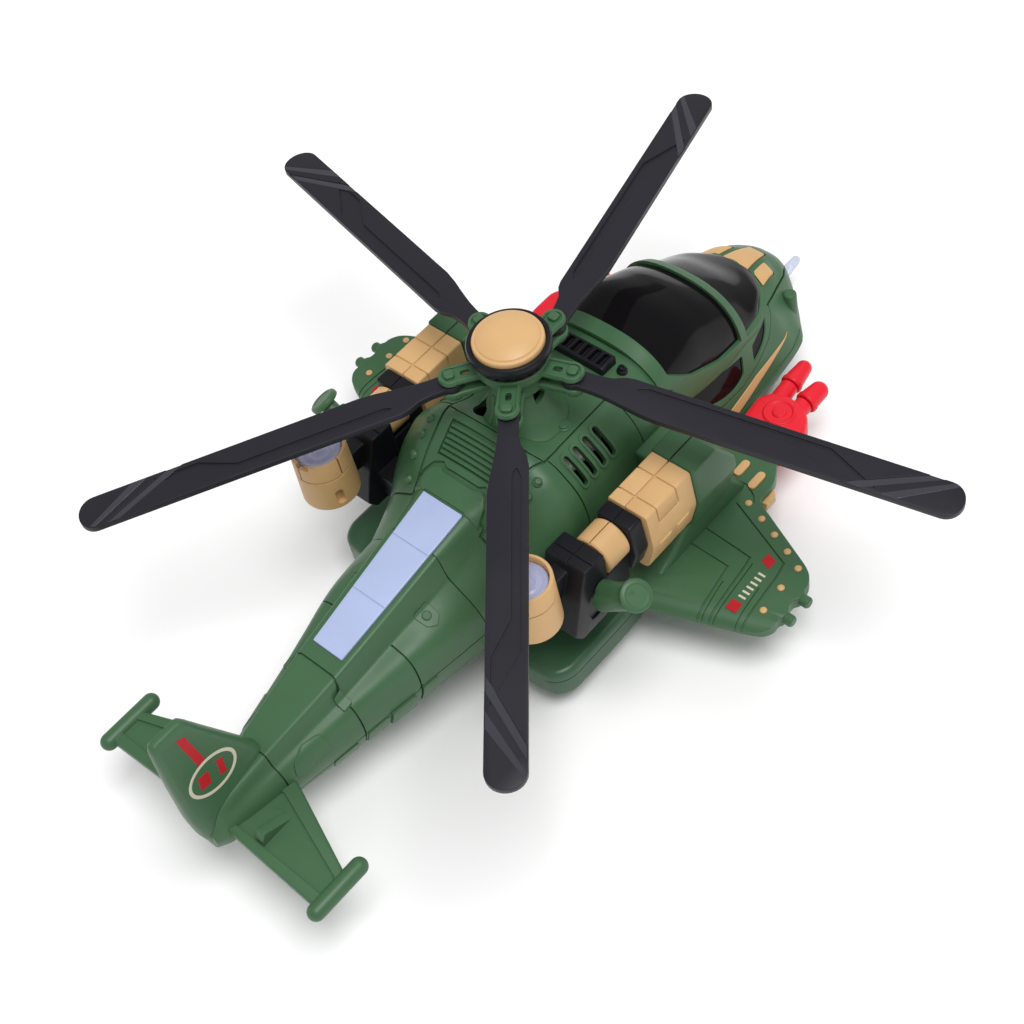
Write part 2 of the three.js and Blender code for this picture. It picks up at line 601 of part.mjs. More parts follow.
function launcher() {
  const outline = [[41, -92.5], [59.5, -84.5], [60, -62], [44, -60], [39.5, -74]];
  const sockets = MISSILES.map(({ tail, tip, z }) => (
    rod(2.2, [...tail, z], [tip[0], tip[1], z], 12)
  ));
  const pylon = box(36, 48, -72.5, -62, 15, 22);
  const clearance = plate(WING_OUTLINE, 17.9, 23.8);
  return cut(join([plate(outline, 15.6, 26.2), pylon]), [...sockets, bodyOuter, clearance]);
}

function missile({ tail, tip, z }) {
  const start = new THREE.Vector3(...tail, z);
  const end = new THREE.Vector3(...tip, z);
  const at = (t) => start.clone().lerp(end, t).toArray();
  return join([
    rod(2, at(0.02), at(0.72), 12), rod(3.4, at(0.62), at(0.92), 12, 2.6), rod(2.6, at(0.9), at(1), 12, 1.5),
  ]);
}

function noseGun() {
  const barrel = rod(2.2, [0, -138, 7.9], [0, -161, 10.7], 14, 1.2);
  const breech = ball(4.4, [0, -136, 8], 14);
  return join([barrel, breech]).subtract(bodyOuter);
}

// ---- inner works ---------------------------------------------------------
function gear(teeth, z0, z1, bore) {
  const points = [];
  const pitch = (GEAR_MODULE * teeth) / 2;
  for (let i = 0; i < teeth; i++) {
    const [foot, tip] = [pitch - 0.9, pitch + 0.6];
    for (const [share, radius] of [[-0.24, foot], [-0.1, tip], [0.1, tip], [0.24, foot]]) {
      const angle = ((i + share) * 2 * Math.PI) / teeth;
      points.push([radius * Math.cos(angle), radius * Math.sin(angle)]);
    }
  }
  const blank = plate(points, z0, z1);
  return bore ? blank.subtract(rod(bore, [0, 0, z0 - 1], [0, 0, z1 + 1], 24)) : blank;
}

function rotorGear() {
  return turnedAboutZ(gear(GEAR_TEETH, GEAR_Z[0], GEAR_Z[1], 2.5 + RUN), -90 + 180 / GEAR_TEETH);
}

function motorPinion() {
  const wheel = turnedAboutZ(gear(PINION_TEETH, GEAR_Z[0] - 0.5, GEAR_Z[1] + 0.5, 0), 90, [0, -GEAR_CENTRE, 0]);
  return wheel.add(rod(1, [0, -GEAR_CENTRE, 50.5], [0, -GEAR_CENTRE, GEAR_Z[1]], 16));
}

function motor() {
  const round = rod(10, [0, -GEAR_CENTRE, 29], [0, -GEAR_CENTRE, 53.8], 28);
  const can = round.intersect(box(-7.6, 7.6, -40, 0, 20, 60));
  return can.subtract(rod(1 + RUN, [0, -GEAR_CENTRE, 50], [0, -GEAR_CENTRE, 60], 16));
}

function gearbox() {
  const deck = box(-21, 21, -30, 17, 54.1, 56.8);
  const post = join([
    rod(3, [18, 14, 54.1], [18, 14, 69.5], 16), rod(3, [18, -25, 54.1], [18, -25, 69.5], 16),
  ]).intersect(bodyHollow);
  const holes = [
    rod(2.5 + RUN, [0, 0, 50], [0, 0, 60], 24), rod(2, [0, -GEAR_CENTRE, 50], [0, -GEAR_CENTRE, 60], 16),
  ];
  return cut(join([deck, bothSides(post)]), holes);
}

function batteryDoor() {
  const panel = box(-23.7, 23.7, -26.7, 28.7, 0, WALL - 0.1);
  const screw = rod(2.4, [0, 25.5, -1], [0, 25.5, 0.8], 14);
  return panel.subtract(screw);
}

function battery(index) {
  const x = (index - 1) * 15;
  const z = 2.3 + CELL_RADIUS;
  const can = rod(CELL_RADIUS, [x, -24.5, z], [x, -24.5 + CELL_LENGTH - 1.2, z], 24);
  return can.add(rod(2.6, [x, 20, z], [x, -24.5 + CELL_LENGTH, z], 12));
}

function circuitBoard() {
  const lamps = [70, 84, 97].map((y) => rod(2.4, [0, y, 35], [0, y, 43], 12));
  const board = box(-9, 9, 64, 103, 34, 35.6);
  const chip = box(-6, 5, 74, 80, 35, 37.4);
  return join([board, ...lamps, chip]).subtract(box(-20, 20, 60, 110, 20, 34));
}

function speaker() {
  const magnet = rod(7, [0, SPEAKER_Y, 5], [0, SPEAKER_Y, 10], 16);
  return magnet.add(rod(12, [0, SPEAKER_Y, 2.3], [0, SPEAKER_Y, 6], 24));
}

function wheelset(y, z, reach) {
  const axle = rod(1.5, [-reach, y, z], [reach, y, z], 16);
  const wheel = (x) => rod(WHEEL_RADIUS, [x - 3, y, z], [x + 3, y, z], 24);
  const dish = (x, s) => rod(5, [x + s * 2, y, z], [x + s * 4, y, z], 14);
  return cut(join([axle, wheel(reach), wheel(-reach)]), [dish(reach, 1), dish(-reach, -1)]);
}

function turntable() {
  const disc = rod(21.2, [0, FRONT_AXLE_Y, 0.6], [0, FRONT_AXLE_Y, 3.3], 32);
  const flange = rod(24.6, [0, FRONT_AXLE_Y, 3.3], [0, FRONT_AXLE_Y, 5], 32);
  const unit = box(-8.5, 8.5, FRONT_AXLE_Y - 9, FRONT_AXLE_Y + 9, 1, 18);
  const slots = bothSides(box(9.3, 17.5, FRONT_AXLE_Y - 9, FRONT_AXLE_Y + 9, -5, 20));
  const bore = rod(1.5 + RUN, [-30, FRONT_AXLE_Y, AXLE_Z], [30, FRONT_AXLE_Y, AXLE_Z], 16);
  return cut(join([disc, flange, unit]), [slots, bore]);
}

function switchSlider() {
  return box(-21.6, -18.4, -53, -49, -0.8, 2.6).add(box(-24, -16, -55, -47, 2.3, 4));
}

// ---- assembly -------------------------------------------------------------
const materials = Object.fromEntries(Object.entries(COLOURS).map(([name, [color, roughness, metalness]]) => (
  [name, { color, roughness, metalness }]
)));
const model = new THREE.Group();
model.name = 'toy_helicopter';

function add(name, body, finish) {
  const mesh = new THREE.Mesh(toGeometry(body), new THREE.MeshStandardMaterial(materials[finish]));
  mesh.name = name;
  model.add(mesh);
}

function addPair(name, body, finish) {
  add(`${name}_left`, body, finish);
  add(`${name}_right`, mirrored(body), finish);
}

add('upper_body', upperBody(), 'green');
add('lower_hull', lowerHull(), 'green');
add('tail_boom', tailBoom(), 'green');
add('tail_fin', tailFin(), 'green');
addPair('stabiliser', stabiliser(), 'green');
add('canopy_glass', canopyGlass(), 'smoke');
add('canopy_frame', canopyFrame(), 'green');
add('cockpit_tub', cockpitTub(), 'seat');
add('intake_block', intakeBlock(), 'black');
add('antenna_knob', antennaKnob(), 'black');
add('mast_shroud', mastShroud(), 'green');
add('hub_lower', hubLower(), 'green');
add('hub_upper', hubUpper(), 'green');
add('rotor_ring', rotorRing(), 'black');
add('rotor_cap', rotorCap(), 'tan');
add('rotor_shaft', rotorShaft(), 'steel');
BLADE_SWING.forEach((swing, i) => add(`blade_${i + 1}`, blade(i), 'black'));
add('spine_light_lens', lensBlank(0, 0.4, -1.6), 'lens');
addPair('wing', wing(), 'green');
addPair('wing_insert', wingInsert(), 'tan');
addPair('nacelle', nacelle(), 'tan');
addPair('engine_yoke', engineYoke(), 'black');
addPair('engine_sleeve', sleeve(), 'tan');
addPair('thruster_barrel', thrusterBarrel(), 'tan');
addPair('thruster_lens', thrusterLens(), 'clear');
addPair('stub_cap', stubCap(), 'green');
addPair('launcher', launcher(), 'red');
MISSILES.forEach((entry, i) => addPair(`missile_${i + 1}`, missile(entry), 'red'));
add('nose_gun', noseGun(), 'clear');
add('battery_door', batteryDoor(), 'green');
[0, 1, 2].forEach((i) => add(`battery_${i + 1}`, battery(i), 'cell'));
add('motor', motor(), 'steel');
add('motor_pinion', motorPinion(), 'brass');
add('rotor_gear', rotorGear(), 'nylon');
add('gearbox', gearbox(), 'black');
add('circuit_board', circuitBoard(), 'board');
add('speaker', speaker(), 'black');
add('turntable', turntable(), 'black');
add('drive_wheelset', wheelset(FRONT_AXLE_Y, AXLE_Z, 13.4), 'rubber');
add('rear_wheelset', wheelset(REAR_AXLE_Y, AXLE_Z, 23.5), 'rubber');
add('switch_slider', switchSlider(), 'black');

export default model;
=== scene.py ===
"""Looks for the toy helicopter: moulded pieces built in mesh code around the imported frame.

Positions are written in millimetres in the row frame (nose -Y, +Z up) and scaled once, in new_object.
"""
import math

import bpy
import bmesh
import numpy as np
from mathutils import Matrix, Vector


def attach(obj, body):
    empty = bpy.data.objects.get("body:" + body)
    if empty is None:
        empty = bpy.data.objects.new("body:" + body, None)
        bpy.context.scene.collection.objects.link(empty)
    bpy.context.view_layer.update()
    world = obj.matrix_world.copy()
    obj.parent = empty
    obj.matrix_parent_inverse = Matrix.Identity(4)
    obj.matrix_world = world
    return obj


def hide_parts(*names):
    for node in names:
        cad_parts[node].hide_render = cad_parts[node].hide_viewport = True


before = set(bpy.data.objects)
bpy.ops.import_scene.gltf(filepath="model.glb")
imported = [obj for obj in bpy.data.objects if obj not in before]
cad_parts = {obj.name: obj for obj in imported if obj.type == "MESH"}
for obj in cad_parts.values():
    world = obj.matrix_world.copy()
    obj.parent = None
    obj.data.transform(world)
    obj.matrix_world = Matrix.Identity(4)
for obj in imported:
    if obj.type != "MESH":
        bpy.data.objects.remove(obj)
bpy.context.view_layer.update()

MM = 0.001
WALL = 2.0                 # moulded wall thickness
GROOVE_DEPTH = 1.1         # panel line depth
GROOVE_WIDTH = 0.6
PART_LINE = 19.0           # seam between upper body and lower hull
SEAM_GAP = 0.3
PIN_RADIUS = 21.8          # blade hinge bolts from the mast
PIN_Z = 100.0
HUB_PHASE = 54.6           # heading of the first hub finger, degrees
BLADE_SWING = (2.3, 3.7, 15.5, -3.3, 3.7)    # each blade's turn in its clevis at rest, degrees
BLADE_DROOP = math.tan(math.radians(4.65))   # fall per length
BLADE_LENGTH = 135.0
BLADE_HALF = 6.75          # half chord
WING_TOP = 23.5
LENS_SLOPE = -0.231        # fall of the spine light per length
CONE_FOOT = (0, 1, 0)      # centre of the mast cone
THRUSTER_X = 48.3
THRUSTER_Y = 55.5
TURNTABLE_Y = -84
REAR_AXLE_Y = 44
AXLE_Z = 4


# ---- mesh helpers --------------------------------------------------------------
def new_object(name, verts, faces):
    """A mesh object from corner points in millimetres, with its normals turned outwards."""
    mesh = bpy.data.meshes.new(name)
    mesh.from_pydata([tuple(c * MM for c in v) for v in verts], [], faces)
    obj = bpy.data.objects.new(name, mesh)
    bpy.context.scene.collection.objects.link(obj)
    work = bmesh.new()
    work.from_mesh(mesh)
    bmesh.ops.recalc_face_normals(work, faces=work.faces)
    work.to_mesh(mesh)
    work.free()
    return obj


def bake(obj):
    """Turns the object's modifiers into plain mesh."""
    bpy.context.view_layer.update()
    depsgraph = bpy.context.evaluated_depsgraph_get()
    baked = bpy.data.meshes.new_from_object(obj.evaluated_get(depsgraph))
    old = obj.data
    obj.modifiers.clear()
    obj.data = baked
    bpy.data.meshes.remove(old)
    return obj


def boolean(target, operation, tool):
    """Changes the target by the tool, which is used up."""
    mod = target.modifiers.new("solid", "BOOLEAN")
    mod.operation = operation
    mod.solver = "MANIFOLD"
    mod.object = tool
    bake(target)
    bpy.data.objects.remove(tool)
    return target


def cut(target, *tools):
    for tool in tools:
        boolean(target, "DIFFERENCE", tool)
    return target


def join(target, *tools):
    for tool in tools:
        boolean(target, "UNION", tool)
    return target


def overlap(target, tool):
    return boolean(target, "INTERSECT", tool)


def copy_of(obj):
    twin = obj.copy()
    twin.data = obj.data.copy()
    bpy.context.scene.collection.objects.link(twin)
    return twin


def mirrored(obj):
    twin = copy_of(obj)
    twin.data.transform(Matrix.Diagonal((-1, 1, 1, 1)))
    twin.data.flip_normals()
    return twin


def both(obj):
    """The piece on the left and its mirror image on the right."""
    return [obj, mirrored(obj)]


def transformed(obj, matrix):
    obj.data.transform(matrix)
    return obj


def bevelled(obj, width, segments=3, angle=28):
    """Rounds the edges that turn by more than the angle."""
    mod = obj.modifiers.new("round", "BEVEL")
    mod.width = width * MM
    mod.segments = segments
    mod.limit_method = "ANGLE"
    mod.angle_limit = math.radians(angle)
    return bake(obj)


def corner_curve(before, corner, after, radius, steps):
    """Points of a short curve that rounds one corner of an outline."""
    point = np.array(corner, float)
    inward, outward = np.array(before, float) - point, np.array(after, float) - point
    start = inward * min(radius / (np.linalg.norm(inward) + 1e-9), 0.48)
    end = outward * min(radius / (np.linalg.norm(outward) + 1e-9), 0.48)
    shares = [k / steps for k in range(steps + 1)]
    return [tuple(point + start * (1 - t) ** 2 + end * t ** 2) for t in shares]


def between(a, b, parts):
    """The points that split the line from a to b into equal parts, without its ends."""
    return [(a[0] + (b[0] - a[0]) * k / parts, a[1] + (b[1] - a[1]) * k / parts) for k in range(1, parts)]


def rounded(points, radius, steps=5):
    """The closed outline with its corners rounded; radius is one number or one per corner."""
    count = len(points)
    radii = [radius] * count if isinstance(radius, (int, float)) else radius
    result = []
    for i, point in enumerate(points):
        if radii[i] > 0:
            result += corner_curve(points[i - 1], point, points[(i + 1) % count], radii[i], steps)
        else:
            result.append(tuple(point))
    return result


# Where a flat outline (u, v) extruded by w lands, by extrusion axis.
SPACE = {
    "x": lambda u, v, w: (w, u, v),
    "y": lambda u, v, w: (u, w, v),
    "z": lambda u, v, w: (u, v, w),
}


def prism(name, outline, axis, low, high, bevel=0.0, segments=3):
    """Straight solid: outline is (x, y) for axis z, (y, z) for axis x and (x, z) for axis y."""
    place = SPACE[axis]
    count = len(outline)
    verts = [place(u, v, low) for u, v in outline] + [place(u, v, high) for u, v in outline]
    faces = [tuple(range(count)), tuple(range(2 * count - 1, count - 1, -1))]
    faces += [(i, (i + 1) % count, count + (i + 1) % count, count + i) for i in range(count)]
    obj = new_object(name, verts, faces)
    return bevelled(obj, bevel, segments) if bevel else obj


def block(name, low, high, bevel=0.0, segments=3):
    """Box between two corners."""
    outline = [(low[0], low[1]), (high[0], low[1]), (high[0], high[1]), (low[0], high[1])]
    return prism(name, outline, "z", low[2], high[2], bevel, segments)


def revolve(name, profile, origin=(0, 0, 0), direction=(0, 0, 1), segments=48, bevel=0.0):
    """Turned solid. profile is (radius, distance along direction) from one end to the other."""
    axis = Vector(direction).normalized()
    turn = Vector((0, 0, 1)).rotation_difference(axis)
    verts, faces, rings = [], [], []
    for radius, along in profile:
        if radius < 1e-6:
            rings.append([len(verts)])
            verts.append(Vector(origin) + turn @ Vector((0, 0, along)))
            continue
        rings.append(list(range(len(verts), len(verts) + segments)))
        for k in range(segments):
            angle = 2 * math.pi * k / segments
            verts.append(Vector(origin) + turn @ Vector((radius * math.cos(angle), radius * math.sin(angle),
                                                         along)))
    for lower, upper in zip(rings, rings[1:]):
        for k in range(segments):
            n = (k + 1) % segments
            quad = [lower[k % len(lower)], lower[n % len(lower)], upper[n % len(upper)],
                    upper[k % len(upper)]]
            faces.append(tuple(dict.fromkeys(quad)))
    for ring in (rings[0], rings[-1]):
        if len(ring) > 1:
            faces.append(tuple(ring))
    obj = new_object(name, [tuple(v) for v in verts], faces)
    return bevelled(obj, bevel) if bevel else obj


def rod(name, start, end, radius, end_radius=None, segments=32, bevel=0.0):
    """Round bar or cone between two points."""
    along = Vector(end) - Vector(start)
    last = radius if end_radius is None else end_radius
    return revolve(name, [(radius, 0), (last, along.length)], start, along, segments, bevel)


def curtain(name, path, axis, low, high, width=GROOVE_WIDTH):
    """Thin wall standing on an open path, used to cut a panel line."""
    points = [np.array(p, float) for p in path]
    left, right = [], []
    for i, point in enumerate(points):
        before = points[i] - points[i - 1] if i else points[1] - points[0]
        after = points[i + 1] - points[i] if i < len(points) - 1 else before
        before, after = before / np.linalg.norm(before), after / np.linalg.norm(after)
        normal = np.array([-(before + after)[1], (before + after)[0]])
        normal /= np.linalg.norm(normal)
        scale = 1 / max(0.4, abs(np.dot(normal, [-after[1], after[0]])))
        left.append(point + normal * width / 2 * scale)
        right.append(point - normal * width / 2 * scale)
    outline = [tuple(p) for p in left] + [tuple(p) for p in reversed(right)]
    count = len(points)
    place = SPACE[axis]
    total = 2 * count
    verts = [place(u, v, low) for u, v in outline] + [place(u, v, high) for u, v in outline]
    faces = []
    for i in range(count - 1):
        mate, following = total - 1 - i, total - 2 - i
        faces.append((i, i + 1, following, mate))
        faces.append((total + i, total + mate, total + following, total + i + 1))
    faces += [(i, (i + 1) % total, total + (i + 1) % total, total + i) for i in range(total)]
    return new_object(name, verts, faces)


def capsule(x, y0, y1, half, low, high):
    """Upright slab with rounded ends, long in y."""
    outline = [(x - half, y0), (x + half, y0), (x + half, y1), (x - half, y1)]
    return prism("capsule", rounded(outline, half * 1.25, 8), "z", low, high)


def wedge(name, start, end, low, high, reach=30):
    """A pie slice around the mast between two headings in degrees."""
    angles = [math.radians(start + (end - start) * k / 6) for k in range(7)]
    outline = [(0.0, 0.0)] + [(reach * math.cos(a), reach * math.sin(a)) for a in angles]
    return prism(name, outline, "z", low, high)


def solid_ring(inner, outer, low, high, origin, direction, segments=64):
    """Square-edged ring."""
    ring = revolve("ring", [(outer, low), (outer, high)], origin, direction, segments)
    return cut(ring, revolve("core", [(inner, low - 1), (inner, high + 1)], origin, direction, segments))


# ---- lofted skins --------------------------------------------------------------
def monotone(xs, ys, x):
    """Monotone cubic through the stations, so a skin never bulges between them."""
    xs, ys = np.array(xs, float), np.array(ys, float)
    step = np.diff(xs)
    slope = np.diff(ys) / step
    tangent = np.zeros_like(ys)
    tangent[0], tangent[-1] = slope[0], slope[-1]
    for i in range(1, len(xs) - 1):
        if slope[i - 1] * slope[i] > 0:
            tangent[i] = 2 * slope[i - 1] * slope[i] / (slope[i - 1] + slope[i])
    i = int(np.clip(np.searchsorted(xs, x) - 1, 0, len(xs) - 2))
    t = (x - xs[i]) / step[i]
    return ((1 + 2 * t) * (1 - t) ** 2 * ys[i] + t * (1 - t) ** 2 * step[i] * tangent[i]
            + t * t * (3 - 2 * t) * ys[i + 1] + t * t * (t - 1) * step[i] * tangent[i + 1])


def stacked(name, rings):
    """Closed solid through rings of equal point counts."""
    size = len(rings[0])
    verts = [v for ring in rings for v in ring]
    faces = [tuple(range(size)), tuple(range(len(verts) - 1, len(verts) - size - 1, -1))]
    for base in range(0, size * (len(rings) - 1), size):
        for k in range(size):
            following = (k + 1) % size
            faces.append((base + k, base + following, base + size + following, base + size + k))
    return new_object(name, verts, faces)


class Skin:
    """A symmetric skin through half sections; each section corner has its own rounding."""

    def __init__(self, stations, radii, step=2.0, edge_points=3):
        self.ys = [s[0] for s in stations]
        self.halves = np.array([[(0, s[1])] + list(s[2:-1]) + [(0, s[-1])] for s in stations], float)
        self.radii = [max(radius, 0.3) for radius in radii]
        self.step = step
        self.edge_points = edge_points

    def half(self, y):
        rows = self.halves.shape[1]
        return [tuple(monotone(self.ys, self.halves[:, k, c], y) for c in (0, 1)) for k in range(rows)]

    def section(self, y, offset=0.0):
        half = self.half(y)
        loop = half + [(-x, z) for x, z in reversed(half[1:-1])]
        radii = list(self.radii) + list(reversed(self.radii[1:-1]))
        dense = []
        for i, point in enumerate(loop):
            corner = corner_curve(loop[i - 1], point, loop[(i + 1) % len(loop)], radii[i], 6)
            if dense:
                dense += between(dense[-1], corner[0], self.edge_points)
            dense += corner
        dense += between(dense[-1], dense[0], self.edge_points)
        ring = np.array(dense)
        if offset:
            ahead, behind = np.roll(ring, -1, 0), np.roll(ring, 1, 0)
            tangent = ahead - behind
            normal = np.stack([-tangent[:, 1], tangent[:, 0]], 1)
            ring = ring + offset * normal / (np.linalg.norm(normal, axis=1)[:, None] + 1e-9)
        return ring

    def solid(self, name, offset=0.0, front=0.0, rear=0.0):
        first, last = self.ys[0] + front, self.ys[-1] + rear
        count = max(3, int((last - first) / self.step))
        samples = [first + (last - first) * i / count for i in range(count + 1)]
        clamped = [min(max(y, self.ys[0]), self.ys[-1]) for y in samples]
        rings = [[(x, y, z) for x, z in self.section(inside, offset)] for y, inside in zip(samples, clamped)]
        return stacked(name, rings)

    def at_x(self, x, y):
        """Point and outward normal on the upper left side at this x."""
        ring = self.section(y)
        best = None
        for a, b in zip(ring, np.roll(ring, -1, 0)):
            if a[0] < -1e-6 or b[0] < -1e-6:
                continue
            if (a[0] - x) * (b[0] - x) <= 0 and a[0] != b[0]:
                point = a + (b - a) * (x - a[0]) / (b[0] - a[0])
                if best is None or point[1] > best[0][1]:
                    best = (point, b - a)
        point, tangent = best
        normal = Vector((-tangent[1], 0, tangent[0])).normalized()
        if normal.z < 0:
            normal = -normal
        return Vector((point[0], y, point[1])), normal


# ---- skins of the airframe -----------------------------------------------------
# y, top, edge, crease, shoulder, widest, low corner, bottom
NOSE_STATIONS = [
    (-141.5, 30, (3, 30), (6, 28.5), (8, 25), (9, 20), (7, 13), 12),
    (-138, 34.5, (3.5, 34.5), (9.5, 32), (12, 28.5), (14, 20), (11, 10), 9),
    (-133, 38, (4.5, 37.8), (13.5, 34), (16.5, 30), (20, 20), (16, 7), 6),
    (-126, 41.5, (12, 40), (16.5, 35.5), (19, 32), (27, 19), (20, 5), 4),
    (-119, 43.8, (15, 41), (19.5, 36.5), (21.5, 33), (33, 18.5), (24, 4), 2.5),
    (-110, 46.5, (16, 44), (23, 39), (27, 34), (35, 19), (27, 2), 1),
    (-100, 46.5, (18, 45.5), (25.5, 42.5), (29, 34), (36, 19), (28.5, 0.6), 0),
    (-88, 46, (19, 45.7), (28, 44), (31, 33), (37, 19), (30, 0), 0),
    (-60, 47, (20, 47), (29, 47), (34, 36), (38, 19), (32, 0), 0),
    (-44, 48, (20, 48), (30, 50), (36, 38), (39, 20), (33, 0), 0),
]
DECK_STATIONS = [
    (-46, 72.2, (14, 71.3), (21, 68), (29, 60), (38.5, 24), (33, 0), 0),
    (-28, 72.6, (19, 72), (23, 70.6), (32.5, 61.5), (39.5, 25), (34, 0), 0),
    (5, 73, (20, 72), (25, 71), (34.5, 63), (40, 26), (35, 0), 0),
    (18, 78.3, (15.5, 77.6), (27, 73), (38.5, 62.5), (40.5, 27), (35, 0), 0),
    (26, 74.2, (14.6, 73.6), (25.5, 70.5), (39.6, 57.5), (39.5, 27.5), (34, 1), 1),
    (33, 70, (13.5, 69.4), (23, 66.8), (38.2, 53), (38, 28), (32, 2.5), 2.5),
    (46, 66, (11.5, 65.5), (15.8, 57.8), (31.5, 47.5), (33.5, 28.5), (27, 6), 6),
    (60.2, 62.5, (11, 62.2), (14, 52), (28, 41.5), (29, 28), (22, 10.5), 10),
]
BOOM_STATIONS = [
    (60.5, 62.4, (11, 62.1), (14, 52), (28, 41.5), (29, 28), (22, 10.6), 10.1),
    (84, 57, (10.3, 56.6), (13.2, 48), (24, 44.5), (25.5, 29), (19, 12), 11),
    (104, 52.3, (9.6, 52), (12, 44), (19.8, 41.5), (21.5, 27.5), (16, 13), 12),
    (116, 49.6, (9, 49.3), (11.2, 41.8), (17.2, 39.5), (19.3, 26.5), (14, 13.3), 12.3),
    (145, 43, (6.5, 42.6), (8.1, 37.2), (12.2, 34.5), (14, 26), (10, 15.5), 14.5),
    (170, 36.5, (4.6, 36.1), (6.2, 32.5), (8.5, 29), (9.8, 25.5), (7, 18.3), 17),
    (175, 33, (3, 32.6), (4.3, 30), (6, 28), (7, 25.5), (5, 19.5), 18.5),
]
# y, top, upper, middle, side, base, skirt, bottom
CANOPY_STATIONS = [
    (-119.2, 45.0, (3.5, 44.9), (6.0, 44.6), (8, 44.0), (8.5, 43.2), (8.5, 36), 36),
    (-115.8, 46.9, (6, 46.7), (10, 46.2), (13.4, 45.0), (14, 43.8), (14, 36), 36),
    (-110, 50.2, (8, 49.9), (14.6, 48.6), (19.2, 46.4), (20.2, 44), (20.2, 36), 36),
    (-100, 57.5, (10, 56.6), (18, 53), (24, 47.5), (25.5, 44), (25.5, 36), 36),
    (-87, 65, (10, 64.3), (19, 61), (25.5, 53.5), (27.6, 45.5), (27.6, 36), 36),
    (-75, 71.8, (11, 70.9), (20, 67), (26, 58), (28.6, 46), (28.6, 36), 36),
    (-60, 76.3, (12, 75.3), (21, 71.5), (27, 62), (29.2, 47), (29.2, 36), 36),
    (-40, 74, (12.5, 73.2), (21.5, 69.4), (27.5, 63), (29.6, 48), (29.6, 36), 36),
]
NOSE = Skin(NOSE_STATIONS, (4, 2.2, 2.2, 4, 2.4, 8, 0))
DECK = Skin(DECK_STATIONS, (6, 3, 3, 9, 14, 8, 0))
BOOM = Skin(BOOM_STATIONS, (3, 1.4, 1.2, 9, 7, 7, 3))
CANOPY = Skin(CANOPY_STATIONS, (9, 9, 9, 9, 4, 0, 0), step=1.5)


def body_solid(name, offset=0.0):
    """Nose and deck skins as one solid."""
    return join(NOSE.solid(name, offset), DECK.solid(name + ".deck", offset))


def body_cavity():
    """The hollow inside the nose and deck skins."""
    cavity = NOSE.solid("cavity", -WALL, front=7, rear=1.0)
    return join(cavity, DECK.solid("cavity.deck", -WALL, front=1.0, rear=1.0))


def panel_lines(skin_outer, skin_inset, walls):
    """Cuts the walls into the outer skin, then fills it again up to the inset skin, leaving even grooves."""
    cut(skin_outer, *walls)
    return join(skin_outer, skin_inset)


def raised(name, outline, axis, low, high, skin, rise, corner=1.0):
    """A thin panel with the given outline that stands proud of a skin."""
    panel = prism(name, rounded(outline, corner), axis, low, high)
    overlap(panel, skin.solid("skin", rise))
    return cut(panel, skin.solid("skin", -0.5))


# ---- materials -----------------------------------------------------------------
def node(tree, kind, inputs=None, **settings):
    """A shader node with linked or set inputs."""
    item = tree.nodes.new(kind)
    for key, value in settings.items():
        setattr(item, key, value)
    for key, value in (inputs or {}).items():
        if isinstance(value, bpy.types.NodeSocket):
            tree.links.new(value, item.inputs[key])
        else:
            item.inputs[key].default_value = value
    return item


def mixed(tree, factor, first, second):
    """Colour output of a mix node."""
    mix = node(tree, "ShaderNodeMix", data_type="RGBA")
    for key, value in ((0, factor), (6, first), (7, second)):
        if isinstance(value, bpy.types.NodeSocket):
            tree.links.new(value, mix.inputs[key])
        else:
            mix.inputs[key].default_value = value
    return mix.outputs[2]


